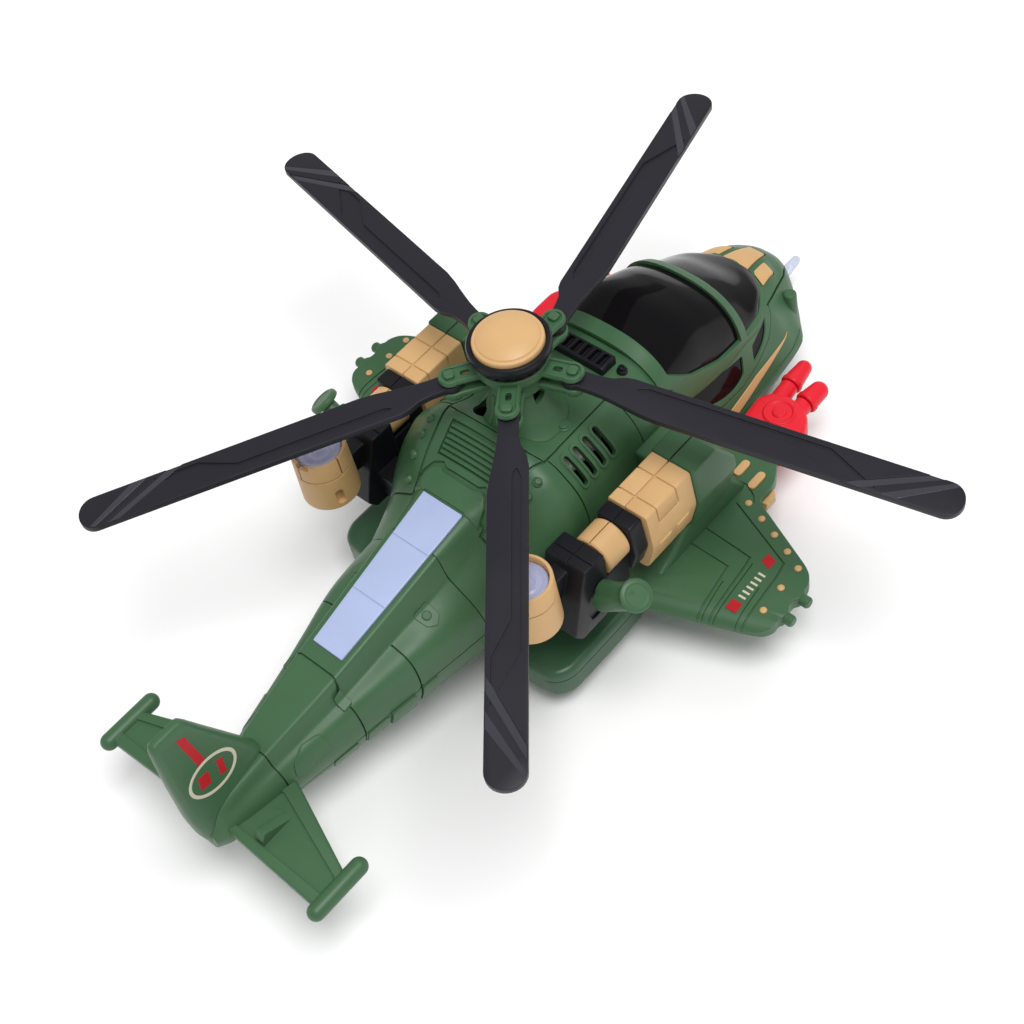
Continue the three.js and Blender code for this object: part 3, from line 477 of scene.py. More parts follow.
def plastic(name, color, rough=0.42, wear=0.22, grain=0.35, coat=0.0, spread=0.10, edge=0.35, gloss=0.36):
    """Moulded plastic: faint flow marks, a fine spark-eroded grain, dust in recesses and rubbed edges."""
    material = bpy.data.materials.new(name)
    material.use_nodes = True
    tree = material.node_tree
    shader = tree.nodes["Principled BSDF"]
    place = node(tree, "ShaderNodeTexCoord").outputs["Object"]
    flow = node(tree, "ShaderNodeTexNoise",
                {"Vector": place, "Scale": 38.0, "Detail": 4.0, "Roughness": 0.55})
    fine = node(tree, "ShaderNodeTexNoise",
                {"Vector": place, "Scale": 2600.0, "Detail": 2.0, "Roughness": 0.6})
    scuff = node(tree, "ShaderNodeTexNoise",
                 {"Vector": place, "Scale": 420.0, "Detail": 5.0, "Roughness": 0.7})
    round_edge = node(tree, "ShaderNodeBevel", {"Radius": edge * MM}, samples=6)
    grain_bump = node(tree, "ShaderNodeBump", {
        "Height": fine.outputs["Fac"], "Strength": grain, "Distance": 0.00003,
        "Normal": round_edge.outputs["Normal"],
    })
    geometry = node(tree, "ShaderNodeNewGeometry")
    same = node(tree, "ShaderNodeVectorMath",
                {0: round_edge.outputs["Normal"], 1: geometry.outputs["Normal"]}, operation="DOT_PRODUCT")
    rubbed = node(tree, "ShaderNodeMapRange",
                  {"Value": same.outputs["Value"], 1: 0.995, 2: 0.86, 3: 0.0, 4: wear})
    patchy = node(tree, "ShaderNodeMath", {0: rubbed.outputs["Result"], 1: scuff.outputs["Fac"]},
                  operation="MULTIPLY")
    darker = tuple(c * (1 - spread) for c in color) + (1,)
    lighter = tuple(min(1, c * (1 + spread)) for c in color) + (1,)
    worn = tuple(min(1, c * 1.45 + 0.03) for c in color) + (1,)
    base = mixed(tree, flow.outputs["Fac"], darker, lighter)
    tree.links.new(mixed(tree, patchy.outputs["Value"], base, worn), shader.inputs["Base Color"])
    roughness = node(tree, "ShaderNodeMapRange",
                     {"Value": flow.outputs["Fac"], 1: 0.3, 2: 0.7, 3: rough - 0.05, 4: rough + 0.07})
    tree.links.new(roughness.outputs["Result"], shader.inputs["Roughness"])
    tree.links.new(grain_bump.outputs["Normal"], shader.inputs["Normal"])
    shader.inputs["Specular IOR Level"].default_value = gloss
    shader.inputs["Coat Weight"].default_value = coat
    shader.inputs["Coat Roughness"].default_value = 0.12
    return material


def clear_plastic(name, color, rough, transmission, ior=1.49, grain=0.2):
    """See-through plastic."""
    material = plastic(name, color, rough, wear=0.1, grain=grain, spread=0.04)
    shader = material.node_tree.nodes["Principled BSDF"]
    shader.inputs["Transmission Weight"].default_value = transmission
    shader.inputs["IOR"].default_value = ior
    return material


def metal(name, color, rough):
    """Bare metal."""
    material = plastic(name, color, rough, wear=0.3, grain=0.5)
    material.node_tree.nodes["Principled BSDF"].inputs["Metallic"].default_value = 1.0
    return material


GREEN = plastic("green_plastic", (0.047, 0.118, 0.053), 0.40)
DARK_GREEN = plastic("pod_green_plastic", (0.036, 0.095, 0.047), 0.36)
TAN = plastic("tan_plastic", (0.60, 0.37, 0.165), 0.42, wear=0.15)
BLACK = plastic("black_plastic", (0.009, 0.009, 0.012), 0.38, wear=0.25, gloss=0.22)
BLADE = plastic("blade_plastic", (0.013, 0.012, 0.018), 0.42, wear=0.25, grain=0.5, gloss=0.32)
# Band plastic: really glossier than the blade, and lighter in colour as painted sheen.
BLADE_GLOSS_AND_SHEEN = plastic("blade_gloss_painted_sheen", (0.034, 0.033, 0.044), 0.14, wear=0.2, grain=0.1, gloss=0.6)
RED = plastic("red_plastic", (0.74, 0.012, 0.028), 0.36, wear=0.12)
RED_PAINT = plastic("red_paint", (0.44, 0.008, 0.015), 0.40, wear=0.1)
PALE_PAINT = plastic("pale_paint", (0.58, 0.56, 0.43), 0.45, wear=0.1)
SMOKE = clear_plastic("smoked_plastic", (0.008, 0.007, 0.008), 0.07, 0.35, ior=1.24, grain=0.03)
LENS = plastic("milky_lens", (0.40, 0.47, 0.70), 0.34, wear=0.15, coat=0.3)
MILKY = clear_plastic("thruster_lens", (0.60, 0.62, 0.86), 0.25, 0.45)
CLEAR = clear_plastic("clear_plastic", (0.70, 0.74, 0.88), 0.2, 0.55)
SEAT = plastic("seat_plastic", (0.30, 0.02, 0.03), 0.5)
STEEL = metal("steel", (0.55, 0.56, 0.58), 0.32)
BRASS = metal("brass", (0.60, 0.42, 0.16), 0.3)
NYLON = plastic("nylon", (0.78, 0.75, 0.68), 0.5)
CELL = plastic("cell_sleeve", (0.05, 0.16, 0.42), 0.3)
BOARD = plastic("board", (0.03, 0.16, 0.05), 0.5)
RUBBER = plastic("tyre_rubber", (0.014, 0.014, 0.015), 0.75, wear=0.3, grain=0.8)


def piece(obj, name, material, body, nodes=(), angle=32):
    """Finishes a piece: shading, material, body and the CAD nodes it stands for."""
    obj.name = name
    obj.data.name = name
    obj.data.materials.clear()
    obj.data.materials.append(material)
    obj.data.polygons.foreach_set("use_smooth", [True] * len(obj.data.polygons))
    obj.data.set_sharp_from_angle(angle=math.radians(angle))
    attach(obj, body)
    if nodes:
        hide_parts(*nodes)
    return obj


def pair(obj, name, material, nodes=(), body="airframe", angle=32):
    """A piece on the left (+X) and its mirror image on the right."""
    twin = mirrored(obj)
    for side, item in (("left", obj), ("right", twin)):
        where = body if body == "airframe" else f"{body}_{side}"
        piece(item, f"{name}_{side}.look", material, where, [f"{n}_{side}" for n in nodes], angle)


# ---- fuselage ------------------------------------------------------------------
HATCH_EDGE = [(16, 42), (15, 37.4), (12.8, 34.2), (9.9, 33.0), (7.8, 34.2), (-7.8, 34.2), (-9.9, 33.0),
              (-12.8, 34.2), (-15, 37.4), (-16, 42)]
NOSE_PANELS = {
    "nose_panel_centre": [(-6.3, -119.2), (6.3, -119.2), (3.7, -134.2), (-3.7, -134.2)],
    "nose_panel_left": [(8.6, -120.2), (7.5, -128.6), (13.0, -127.4), (15.5, -117.2)],
}
MAIN_WINDOW = [(-85.4, 39.4), (-82.9, 32.2), (-76, 31.4), (-68.2, 33.2), (-59.1, 37.6), (-52, 45.4),
               (-55, 48.2), (-73, 42.0)]
FRONT_WINDOW = [(-106, 39.6), (-101.2, 34.8), (-95, 32.8), (-90.2, 32.2), (-92.2, 38.4), (-98.5, 39.2)]
VENT_ROWS = (-8.9, -3.5, 1.9, 7.3)


def side_windows(low, high=60.0):
    """The long side window and the sliver ahead of the pillar, as one tool."""
    window = prism("window", rounded(MAIN_WINDOW, (1, 2, 4, 4, 4, 1, 1, 4)), "x", low, high)
    return join(window, prism("sliver", rounded(FRONT_WINDOW, (0.5, 3, 3, 0.6, 0.8, 3)), "x", low - 8, high))


def deck_grooves():
    """Panel lines on the deck and shoulders."""
    top = 100
    walls = both(curtain("g", [(20, -22.6), (20.5, 5), (22.2, 14.2)], "z", 55, top))
    walls += [curtain("g", [(-22.2, 14.2), (-16.4, 15.6), (16.4, 15.6), (22.2, 14.2)], "z", 60, top)]
    walls += both(curtain("g", [(22.2, 14.2), (20.6, 20), (18.6, 32), (17, 37.7), (16.2, 44)], "z", 50, top,
                          1.1))
    walls += both(block("g", (22, 12.5, 30), (60, 13.2, 90)))
    walls += both(block("g", (19.8, -23.0, 30), (60, -22.6, 90)))
    walls += both(block("g", (15.5, 43.6, 24), (60, 44.3, 60)))
    walls += [curtain("g", HATCH_EDGE, "z", 50, top, 2.2)]
    return walls


def nose_grooves():
    """Panel lines on the nose, along each cheek and around the tan panels."""
    walls = both(curtain("g", [(6, -142), (10, -138.5), (14.5, -131.6), (21.7, -111.3)], "z", 30, 80))
    walls += both(curtain("g", [(-112.5, 38.6), (-107, 35.8), (-102.7, 33.2), (-91, 30.2), (-80, 29.2),
                                (-68, 31), (-57, 35.6)], "x", 15, 60, 0.6))
    walls += both(curtain("g", [(-121, 21.4), (-112, 21.6), (-60, 22.4)], "x", 24, 60, 0.5))
    for name, outline in NOSE_PANELS.items():
        centre = np.mean(outline, 0)
        grown = [tuple(centre + (np.array(p) - centre) * 1.09) for p in outline]
        pocket = prism("g", rounded(grown, 1.1), "z", 33, 60)
        walls += both(pocket) if name.endswith("left") else [pocket]
    return walls


def vent_blank(y, length, width, low, high):
    """A capsule standing square to the shoulder, where the cooling slots go through."""
    outline = [(-length / 2, -width / 2), (length / 2, -width / 2), (length / 2, width / 2),
               (-length / 2, width / 2)]
    blank = prism("vent", rounded(outline, width * 0.62, 6), "z", low, high)
    frame_matrix = Matrix(((0.662, 0, 0.749, 27.7 * MM), (0, 1, 0, y * MM), (-0.749, 0, 0.662, 65.8 * MM),
                           (0, 0, 0, 1)))
    return transformed(blank, frame_matrix)


def vent_slots():
    """Cooling slots through both shoulders."""
    slots = []
    for y in VENT_ROWS:
        slots += both(vent_blank(y, 12.6, 2.5, -6, 6))
    return slots


def vent_lips():
    """Raised rims that follow the shoulder around each vent slot."""
    rims = None
    for y in VENT_ROWS:
        for blank in both(vent_blank(y, 14.8, 4.5, -6, 6)):
            rims = join(rims, blank) if rims else blank
    return overlap(rims, DECK.solid("rim", 0.5))


def lens_blank(grow, top, bottom, bevel=0.0):
    """Sloping slab along the spine, where the pale light sits."""
    outline = [(-9.2 - grow, 44 - grow), (9.2 + grow, 44 - grow), (6.9 + grow, 106.5 + grow),
               (-6.9 - grow, 106.5 + grow)]
    lens = prism("lens", outline, "z", bottom, top, bevel)
    shear = Matrix(((1, 0, 0, 0), (0, 1, 0, 0), (0, LENS_SLOPE, 1, (66.3 - 44 * LENS_SLOPE) * MM),
                    (0, 0, 0, 1)))
    return transformed(lens, shear)


def louvers():
    """The ribbed panel behind the mast: a deep recess with slats standing in it."""
    outline = [(-15.4, 19.2), (15.4, 19.2), (14.0, 30.8), (-14.0, 30.8)]
    recess = prism("recess", outline, "z", 60, 90)
    slats = []
    for i in range(6):
        y = 20.6 + i * 1.68
        half = 14.6 - i * 0.2
        slats.append(block("slat", (-half, y, 60), (half, y + 0.9, 90)))
    first = slats[0]
    join(first, *slats[1:])
    return recess, first


def mast_pocket():
    """Round hole in the deck and the cone's foot, on the left behind the mast."""
    return revolve("pocket", [(4.3, 66), (4.3, 79)], (10.6, 8.2, 0), segments=48)


def fuselage():
    """The moulded body, parted at the seam into the upper body and the lower hull."""
    outer = body_solid("fuselage")
    inset = body_solid("inset", -GROOVE_DEPTH)
    recess, slats = louvers()
    deep = copy_of(recess)
    walls = deck_grooves() + nose_grooves()
    cut(outer, recess)
    overlap(slats, body_solid("shallow", -0.35))
    panel_lines(outer, inset, walls)
    cut(deep, body_solid("floor", -1.5))
    cut(outer, deep)
    join(outer, slats)
    join(outer, vent_lips())
    cut(outer, body_cavity())
    cut(outer, *vent_slots())
    cut(outer, mast_pocket())
    cut(outer, *both(side_windows(24)))
    cut(outer, block("cockpit", (-17.3, -98.3, 26), (17.3, -49.7, 60)),
        revolve("bore", [(2.8, 40), (2.8, 99)]))
    cut(outer, lens_blank(0.15, 6, -1.8), lens_blank(-2, 1, -8))
    lower = copy_of(outer)
    cut(outer, block("below", (-90, -200, -40), (90, 200, PART_LINE + SEAM_GAP / 2)))
    cut(lower, block("above", (-90, -200, PART_LINE - SEAM_GAP / 2), (90, 200, 120)))
    add_hull_details(lower)
    piece(outer, "upper_body.look", GREEN, "airframe", ["upper_body"])
    piece(lower, "lower_hull.look", DARK_GREEN, "airframe", ["lower_hull"])


def rear_pod():
    """Long pod low on each side with a scored line around it."""
    outline = [(30, -4), (48, -2), (54.5, 6), (55.8, 20), (55.8, 50), (52, 56), (40, 57.5), (27.5, 52),
               (28, 10)]
    pod = prism("pod", rounded(outline, 3.5), "z", 3, 17.6)
    bevelled(pod, 2.6, 6)
    groove = prism("ring", rounded(outline, 3.5), "z", 12.6, 13.1)
    core = prism("core", rounded([(x - 0.6 if x > 40 else x + 0.6, y) for x, y in outline], 3.5), "z", 12, 14)
    cut(groove, core)
    return cut(pod, groove)


def add_hull_details(hull):
    """Rear pods, battery tray, wheel slots, brackets, and the wells and holes underneath."""
    pods = both(rear_pod())
    for pod in pods:
        cut(pod, block("inner", (-26, -30, 2), (26, 34, 30)))
    join(hull, *pods)
    cut(hull, body_cavity())
    tray = block("tray", (-25, -28, 1.5), (25, 30, 18.7))
    join(hull, tray)
    cut(hull, block("bay", (-23, -26, -1), (23, 28, 17)), block("door", (-24, -27, -5), (24, 29, 2)))
    cut(hull, *both(block("slot", (18.5, 34.5, -4), (28.5, 53.5, 17))),
        block("channel", (-18, 41.5, -2), (18, 46.5, 6.4)))
    join(hull, *both(block("bracket", (14, 40, 1), (17, 48, 12), 0.5)))
    cut(hull, rod("bore", (-18, REAR_AXLE_Y, AXLE_Z), (18, REAR_AXLE_Y, AXLE_Z), 1.56))
    cut(hull, revolve("well", [(21.6, -3), (21.6, 3)], (0, TURNTABLE_Y, 0), segments=64))
    cut(hull, block("switch", (-22, -56, -2), (-18, -46, 4)))
    for i in range(6):
        angle = i * math.pi / 3
        spot = (6 * math.cos(angle), -44 + 6 * math.sin(angle), 0)
        cut(hull, revolve("hole", [(1.1, -2), (1.1, 4)], spot, segments=16))


def shoulder_studs():
    """Round studs down each rear shoulder and a button on the deck."""
    for i, (x, y) in enumerate(((25.1, 21.3), (24.8, 26.9), (23.8, 33.4), (21.8, 39.9))):
        spot, normal = DECK.at_x(x, y)
        stud = revolve("stud", [(1.9, -0.8), (1.9, 0.15), (1.6, 0.3), (1.45, 0.9), (1.0, 1.35), (0, 1.45)],
                       spot, normal, 28)
        pair(stud, f"shoulder_stud_{i + 1}", GREEN)
    spot, normal = DECK.at_x(16.0, -3.0)
    button = revolve("button", [(2.6, -0.8), (2.6, 0.3), (2.0, 0.5), (2.0, 1.0), (1.7, 1.3), (0, 1.3)], spot,
                     normal, 36)
    pair(button, "deck_button", GREEN)


def hatch_panel():
    """Raised notched hatch between the louvers and the spine light."""
    edge = [(x * 0.94, y + 1.2) for x, y in HATCH_EDGE]
    outline = [(-15.0, 43.7)] + list(reversed(edge)) + [(15.0, 43.7)]
    hatch = prism("hatch", rounded(outline, 0.5), "z", 50, 90)
    overlap(hatch, DECK.solid("skin", 0.8))
    cut(hatch, DECK.solid("skin", -1.2))
    cut(hatch, block("lens", (-9.4, 43.2, 40), (9.4, 50, 90)))
    bevelled(hatch, 0.3, 2)
    piece(hatch, "spine_hatch.look", GREEN, "airframe")


def nose_trim():
    """Tan panels on the nose and the tan flash along each cheek."""
    for name, outline in NOSE_PANELS.items():
        tile = prism(name, rounded(outline, 0.9), "z", 34, 60)
        overlap(tile, NOSE.solid("skin", 0.3))
        cut(tile, NOSE.solid("skin", -1.0))
        if name.endswith("left"):
            pair(tile, "nose_panel_side", TAN)
        else:
            piece(tile, name + ".look", TAN, "airframe")
    flash = prism("flash", [(-113.4, 27.2), (-89, 27.8), (-64, 26.6), (-64, 22.8), (-72, 22.8), (-90, 25.0)],
                  "x", 20, 60)
    overlap(flash, NOSE.solid("skin", 0.2))
    cut(flash, NOSE.solid("skin", -0.4))
    pair(flash, "cheek_flash", TAN)
    knob = rod("knob", (21.6, -126.0, 21), (21.6, -126.0, 33.0), 3.1, 2.6, bevel=0.8)
    piece(mirrored(knob), "cheek_knob.look", GREEN, "airframe")
    bpy.data.objects.remove(knob)


# ---- tail ----------------------------------------------------------------------
def boom_grooves():
    """Two ring bands, the long flank seam, the notched spine line and the tail joint."""
    walls = []
    for y, inner in ((90.2, 13.4), (114.4, 11.0)):
        walls += both(block("g", (inner, y - 0.3, 0), (60, y + 0.3, 90)))
    walls += both(curtain("g", [(60, 31.4), (90.4, 30.0), (91.4, 28.4), (114, 25.8), (127, 22.6), (146, 21.4),
                                (176, 21)], "x", 5, 60))
    walls += [curtain("g", [(-12.4, 117), (-9.8, 113), (-7.6, 112.3), (7.6, 112.3), (9.8, 113), (12.4, 117)],
                      "z", 30, 90, 0.7)]
    walls += [block("g", (-60, 145.6, 10), (60, 146.2, 60))]
    return walls


def stepped_doors():
    """Little stepped door blocks below the boom seam."""
    blocks = []
    for start, end, rise in ((83.8, 90.0, 0.5), (93.4, 103.6, 1.1), (104.6, 113.6, 0.5), (118, 128, 0.5)):
        fall = 30.2 - max(0, start - 84) * 0.17
        outline = [(start, fall - 0.8), (end, fall - 1.8), (end, 17), (start, 17)]
        slab = prism("door", rounded(outline, 0.7), "x", 6, 60)
        overlap(slab, BOOM.solid("skin", rise))
        cut(slab, BOOM.solid("skin", -0.6))
        blocks.append(slab)
    return blocks


def boom():
    """Hollow tail boom with its raised doors, shield, boss, flaps and tabs."""
    outer = BOOM.solid("boom")
    panel_lines(outer, BOOM.solid("inset", -GROOVE_DEPTH), boom_grooves())
    cut(outer, BOOM.solid("cavity", -WALL, front=-1.0, rear=-8))
    cut(outer, lens_blank(0.15, 6, -1.8), lens_blank(-2, 1, -8))
    piece(outer, "tail_boom.look", GREEN, "airframe", ["tail_boom"])
    for i, slab in enumerate(stepped_doors()):
        pair(slab, f"boom_door_{i + 1}", GREEN)
    shield = [(13.6, 78.5), (13.8, 71.4), (18.8, 71.2), (20.9, 74.6), (19, 77.6)]
    pair(raised("shield", shield, "z", 30, 60, BOOM, 0.4), "boom_shield", GREEN)
    spot, normal = BOOM.at_x(16.2, 74.9)
    boss = revolve("boss", [(1.7, -0.4), (1.7, 0.9), (1.4, 1.15), (0, 1.15)], spot, normal, 32)
    pair(boss, "boom_boss", GREEN)
    flap = [(127.5, 38.8), (135, 38.2), (140.5, 35.5), (142.2, 31), (139.5, 28), (136, 28.6), (134, 31),
            (127.5, 31.8)]
    pair(raised("flap", flap, "x", 5, 60, BOOM, 0.35, 1.4), "boom_flap", GREEN)
    tab = [(11.2, 113), (15.2, 113), (15.2, 117), (11.2, 117)]
    pair(raised("tab", tab, "z", 30, 60, BOOM, 1.0, 0.6), "boom_tab", GREEN)


def spine_light():
    """Pale light along the spine with two scored lines."""
    lens = lens_blank(0.0, 0.5, -1.6, 0.35)
    for y in (62.0, 84.5):
        height = 66.3 + (y - 44) * LENS_SLOPE
        cut(lens, block("line", (-12, y - 0.2, height + 0.25), (12, y + 0.2, height + 3)))
    piece(lens, "spine_light.look", LENS, "airframe", ["spine_light_lens"])


# height, leading edge y, trailing edge y, half thickness
FIN_LEVELS = (
    (22, 158, 175.6, 4.9), (28, 149, 177.0, 5.4), (34, 144.6, 177.5, 5.2), (39, 143.2, 177.8, 4.5),
    (44, 144.2, 177.9, 3.8), (50, 147.0, 177.8, 3.4), (60, 151.6, 177.7, 3.1), (72, 157.2, 177.2, 2.9),
    (81, 161.3, 176.7, 2.6), (83.6, 162.7, 176.0, 2.1), (84.7, 164.2, 174.8, 1.3),
)


def fin_solid(grow=0.0):
    """Rounded sections stacked up the fin, flaring into the boom at the foot."""
    rings = []
    for z, front, rear, half in FIN_LEVELS:
        corners = [(-half - grow, front - grow), (half + grow, front - grow), (half + grow, rear + grow),
                   (-half - grow, rear + grow)]
        outline = []
        for i, corner in enumerate(corners):
            outline += corner_curve(corners[i - 1], corner, corners[(i + 1) % 4], half * 0.86, 5)
        rings.append([(x, y, z) for x, y in outline])
    return stacked("fin", rings)


def oval(centre, long, short, slope, count=56):
    """Points of an oval in the fin's plane; slope tips its long axis."""
    angles = [2 * math.pi * k / count for k in range(count)]
    return [(centre[0] + long * math.cos(a) + 0.9 * math.sin(a),
             centre[1] + slope * math.cos(a) + short * math.sin(a))
            for a in angles]


def fin_marks():
    """A plain red bar, a pale oval ring and two red bars inside it, on both faces of the fin."""
    centre = (163.2, 53.2)
    band = prism("ring", oval(centre, 10.2, 8.7, -0.7), "x", 0.5, 9)
    cut(band, prism("hole", oval(centre, 8.9, 7.3, -0.6), "x", 0, 10))
    marks = [(band, PALE_PAINT, "green_plastic")]
    bars = [[(168.5, 80.6), (165.2, 79.2), (163.0, 62.4), (166.2, 61.8)],
            [(160.4, 57.2), (157.8, 56.6), (158.6, 48.6), (161.2, 49.2)],
            [(168.6, 56.8), (164.2, 56.4), (165.0, 50.0), (169.4, 50.4)]]
    return marks + [(prism("bar", bar, "x", 0.5, 9), RED_PAINT, "red_plastic") for bar in bars]


def fin():
    blade = fin_solid()
    cut(blade, BOOM.solid("skin"))
    piece(blade, "tail_fin.look", GREEN, "airframe", ["tail_fin"], 50)
    for i, (mark, material, slot) in enumerate(fin_marks()):
        overlap(mark, fin_solid(0.07))
        cut(mark, fin_solid(-0.3))
        pair(mark, f"fin_mark_{i + 1}", material)


def stabiliser():
    """Tail plane with a sunk field, a spur and a capsule at its tip."""
    outline = [(4, 143), (14.5, 142.9), (48.8, 156.1), (50.6, 157.6), (50.6, 169.8), (49.3, 171.4),
               (11.8, 170.2), (4, 169.8)]
    panel = prism("panel", outline, "z", 26.0, 29.6)
    bevelled(panel, 0.9, 4)
    field = prism("field", [(2, 148.4), (14.2, 148.7), (54, 161.6), (54, 167.2), (11.5, 167.0), (2, 166.8)],
                  "z", 28.7, 31)
    cut(panel, field)
    spur = prism("spur", rounded([(151.5, 28), (166.4, 28), (166.4, 31), (164.6, 34.4)], 0.6), "x", 18.6,
                 22.4)
    join(panel, bevelled(spur, 0.4, 3, 40))
    profile = [(0, -3.2)] + [(3.2 * math.sin(a), -3.2 * math.cos(a))
                             for a in np.linspace(0.2, math.pi / 2, 8)]
    profile += [(3.2 * math.cos(a), 20 + 3.2 * math.sin(a))
                for a in np.linspace(0, math.pi / 2 - 0.2, 8)] + [(0, 23.2)]
    join(panel, revolve("capsule", profile, (52.2, 152, 27.6), (0, 1, 0), 40))
    cut(panel, BOOM.solid("skin"))
    cut(panel, block("middle", (-5, 140, 0), (4.4, 180, 60)))
    pair(panel, "stabiliser", GREEN, ["stabiliser"])


# ---- canopy --------------------------------------------------------------------
def canopy_glass():
    """Smoked bubble and the side panes."""
    glass = CANOPY.solid("glass", -0.5, rear=-6)
    cut(glass, CANOPY.solid("room", -2.0, front=2, rear=-7.5), body_solid("seat", 0.05))
    piece(glass, "canopy_glass.look", SMOKE, "airframe", ["canopy_glass"], 50)
    pane = overlap(side_windows(24), body_solid("skin", -0.7))
    cut(pane, body_solid("inner", -1.8))
    pair(pane, "side_pane", SMOKE)


def canopy_frame():
    """Arches, side rails and the sill, cut from a shell over the glass and rounded."""
    bands = [block("rear", (-40, -46.2, 55), (40, -40.2, 90))]
    bands.append(prism("front", [(-90.3, 38), (-86.6, 38), (-87.2, 90), (-91.6, 90)], "x", -40, 40))
    rail = [(-91, 38), (-91, 44.5), (-86.6, 45.8), (-73.4, 47.9), (-57.7, 54.9), (-46.3, 64), (-40.2, 67.6),
            (-40.2, 40)]
    bands += both(prism("rail", rail, "x", 15, 40))
    sill = body_solid("sill", 1.1)
    cut(sill, block("keep", (-60, -89, -20), (60, 80, 99)))
    bands.append(sill)
    frame_band = bands[0]
    join(frame_band, *bands[1:])
    overlap(frame_band, CANOPY.solid("outer", 1.1, front=-0.8, rear=1))
    cut(frame_band, CANOPY.solid("core", -0.7, front=-3, rear=3), body_solid("seat"))
    bevelled(frame_band, 0.4, 3, 40)
    piece(frame_band, "canopy_frame.look", GREEN, "airframe", ["canopy_frame"])


def intake():
    """Black grille box: a row of rectangular slots behind a plain lid, with a screw boss beside it."""
    base = block("intake", (-13, -36, 66), (13, -28, 75.6))
    bevelled(base, 0.6, 3)
    for i in range(6):
        x = -11.6 + i * 4.0
        cut(base, prism("slot", rounded([(x, -34.9), (x + 2.7, -34.9), (x + 2.7, -29.3), (x, -29.3)], 0.4),
                        "z", 73.2, 80))
        join(base, block("slat", (x + 1.1, -35.2, 70), (x + 1.7, -29.0, 74.6)))
    cut(base, body_solid("skin"))
    piece(base, "intake_block.look", BLACK, "airframe", ["intake_block"])
    knob = revolve("knob", [(2.0, 68), (2.0, 72.6), (1.8, 73.0), (1.3, 73.0), (1.3, 74.2), (1.0, 74.6),
                            (0, 74.6)], (-17, -34, 0), segments=36)
    cut(knob, block("slot", (-19, -34.2, 74.1), (-15, -33.8, 77)))
    piece(knob, "antenna_knob.look", BLACK, "airframe", ["antenna_knob"])


# ---- rotor ---------------------------------------------------------------------
def about_mast(obj, degrees):
    """Turns a piece about the mast."""
    return transformed(obj, Matrix.Rotation(math.radians(degrees), 4, "Z"))


def mast_shroud():
    """Hollow cone around the shaft with two dark cut-outs and a stepped foot."""
    bore = [(3.6, 60), (3.6, 99)]
    profile = [(3.6, 68), (17.2, 68), (16.9, 72.0), (15.6, 73.2), (14.0, 74.6), (12.3, 77.4), (10.8, 80.8),
               (9.6, 85), (8.8, 90), (3.6, 90)]
    cone = revolve("cone", profile, CONE_FOOT, segments=96)
    cut(cone, revolve("hollow", [(13.6, 66), (13.4, 72.6), (10.4, 77.4), (8.8, 81), (7.6, 85), (6.8, 91)],
                      CONE_FOOT, segments=64))
    cut(cone, mast_pocket(), wedge("hole", 168, 208, 84, 92))
    for angle in (76, 104, 256, 284):
        rib = prism("rib", [(8, 70), (16.4, 70), (16.2, 73.4), (13.0, 77.2), (10.9, 81.6), (9.4, 89),
                            (8, 89)], "y", -0.7, 0.7)
        bevelled(rib, 0.3, 2)
        about_mast(rib, angle)
        join(cone, transformed(rib, Matrix.Translation(Vector(CONE_FOOT) * MM)))
    cut(cone, body_solid("skin"), revolve("bore", bore))
    piece(cone, "mast_shroud.look", GREEN, "airframe", ["mast_shroud"])
    core = revolve("core", [(3.6, 68), (12.9, 68), (12.6, 72.6), (9.6, 77.4), (6.8, 84), (6.2, 89.6),
                            (3.6, 89.6)], CONE_FOOT, segments=48)
    cut(core, body_solid("skin"), revolve("bore", bore))
    piece(core, "mast_core.look", BLACK, "airframe")


def arm_outline(width, tip):
    """One hub finger along +X: waisted between the disc and the rounded eye at the hinge bolt."""
    points = [(6, -width), (13, -width * 0.86)]
    sweep = np.linspace(-0.62 * math.pi, 0.62 * math.pi, 17)
    points += [(PIN_RADIUS + tip * math.cos(a), tip * math.sin(a)) for a in sweep]
    return points + [(13, width * 0.86), (6, width)]


def hub_upper():
    """Upper clevis plate: five slotted fingers with bolt heads."""
    hub = revolve("disc", [(2.56, 98.8), (12.8, 98.8), (13.2, 99.2), (13.2, 102), (12.8, 102.4),
                           (2.56, 102.4)])
    for i in range(5):
        finger = prism("finger", arm_outline(4.6, 4.3), "z", 98.6, 100.0, 0.3)
        rim = prism("rim", arm_outline(4.3, 4.1), "z", 99.5, 100.7)
        cut(rim, prism("field", arm_outline(3.2, 3.0), "z", 99, 101.5))
        join(finger, bevelled(rim, 0.2, 2, 50))
        boss = prism("boss", rounded([(20.4, -1.9), (24, -1.9), (24, 1.9), (20.4, 1.9)], 1.4), "z", 99.5,
                     101.5, 0.4)
        join(finger, boss)
        cut(finger, prism("slot", rounded([(15, -1.1), (18.4, -1.1), (18.4, 1.1), (15, 1.1)], 0.9), "z", 98,
                          102))
        cut(finger, revolve("socket", [(1.72, 98), (1.72, 99.6)], (PIN_RADIUS, 0, 0)))
        join(hub, about_mast(finger, HUB_PHASE - 72 * i))
    cut(hub, revolve("bore", [(2.56, 97), (2.56, 104)]))
    piece(hub, "hub_upper.look", GREEN, "rotor", ["hub_upper"])


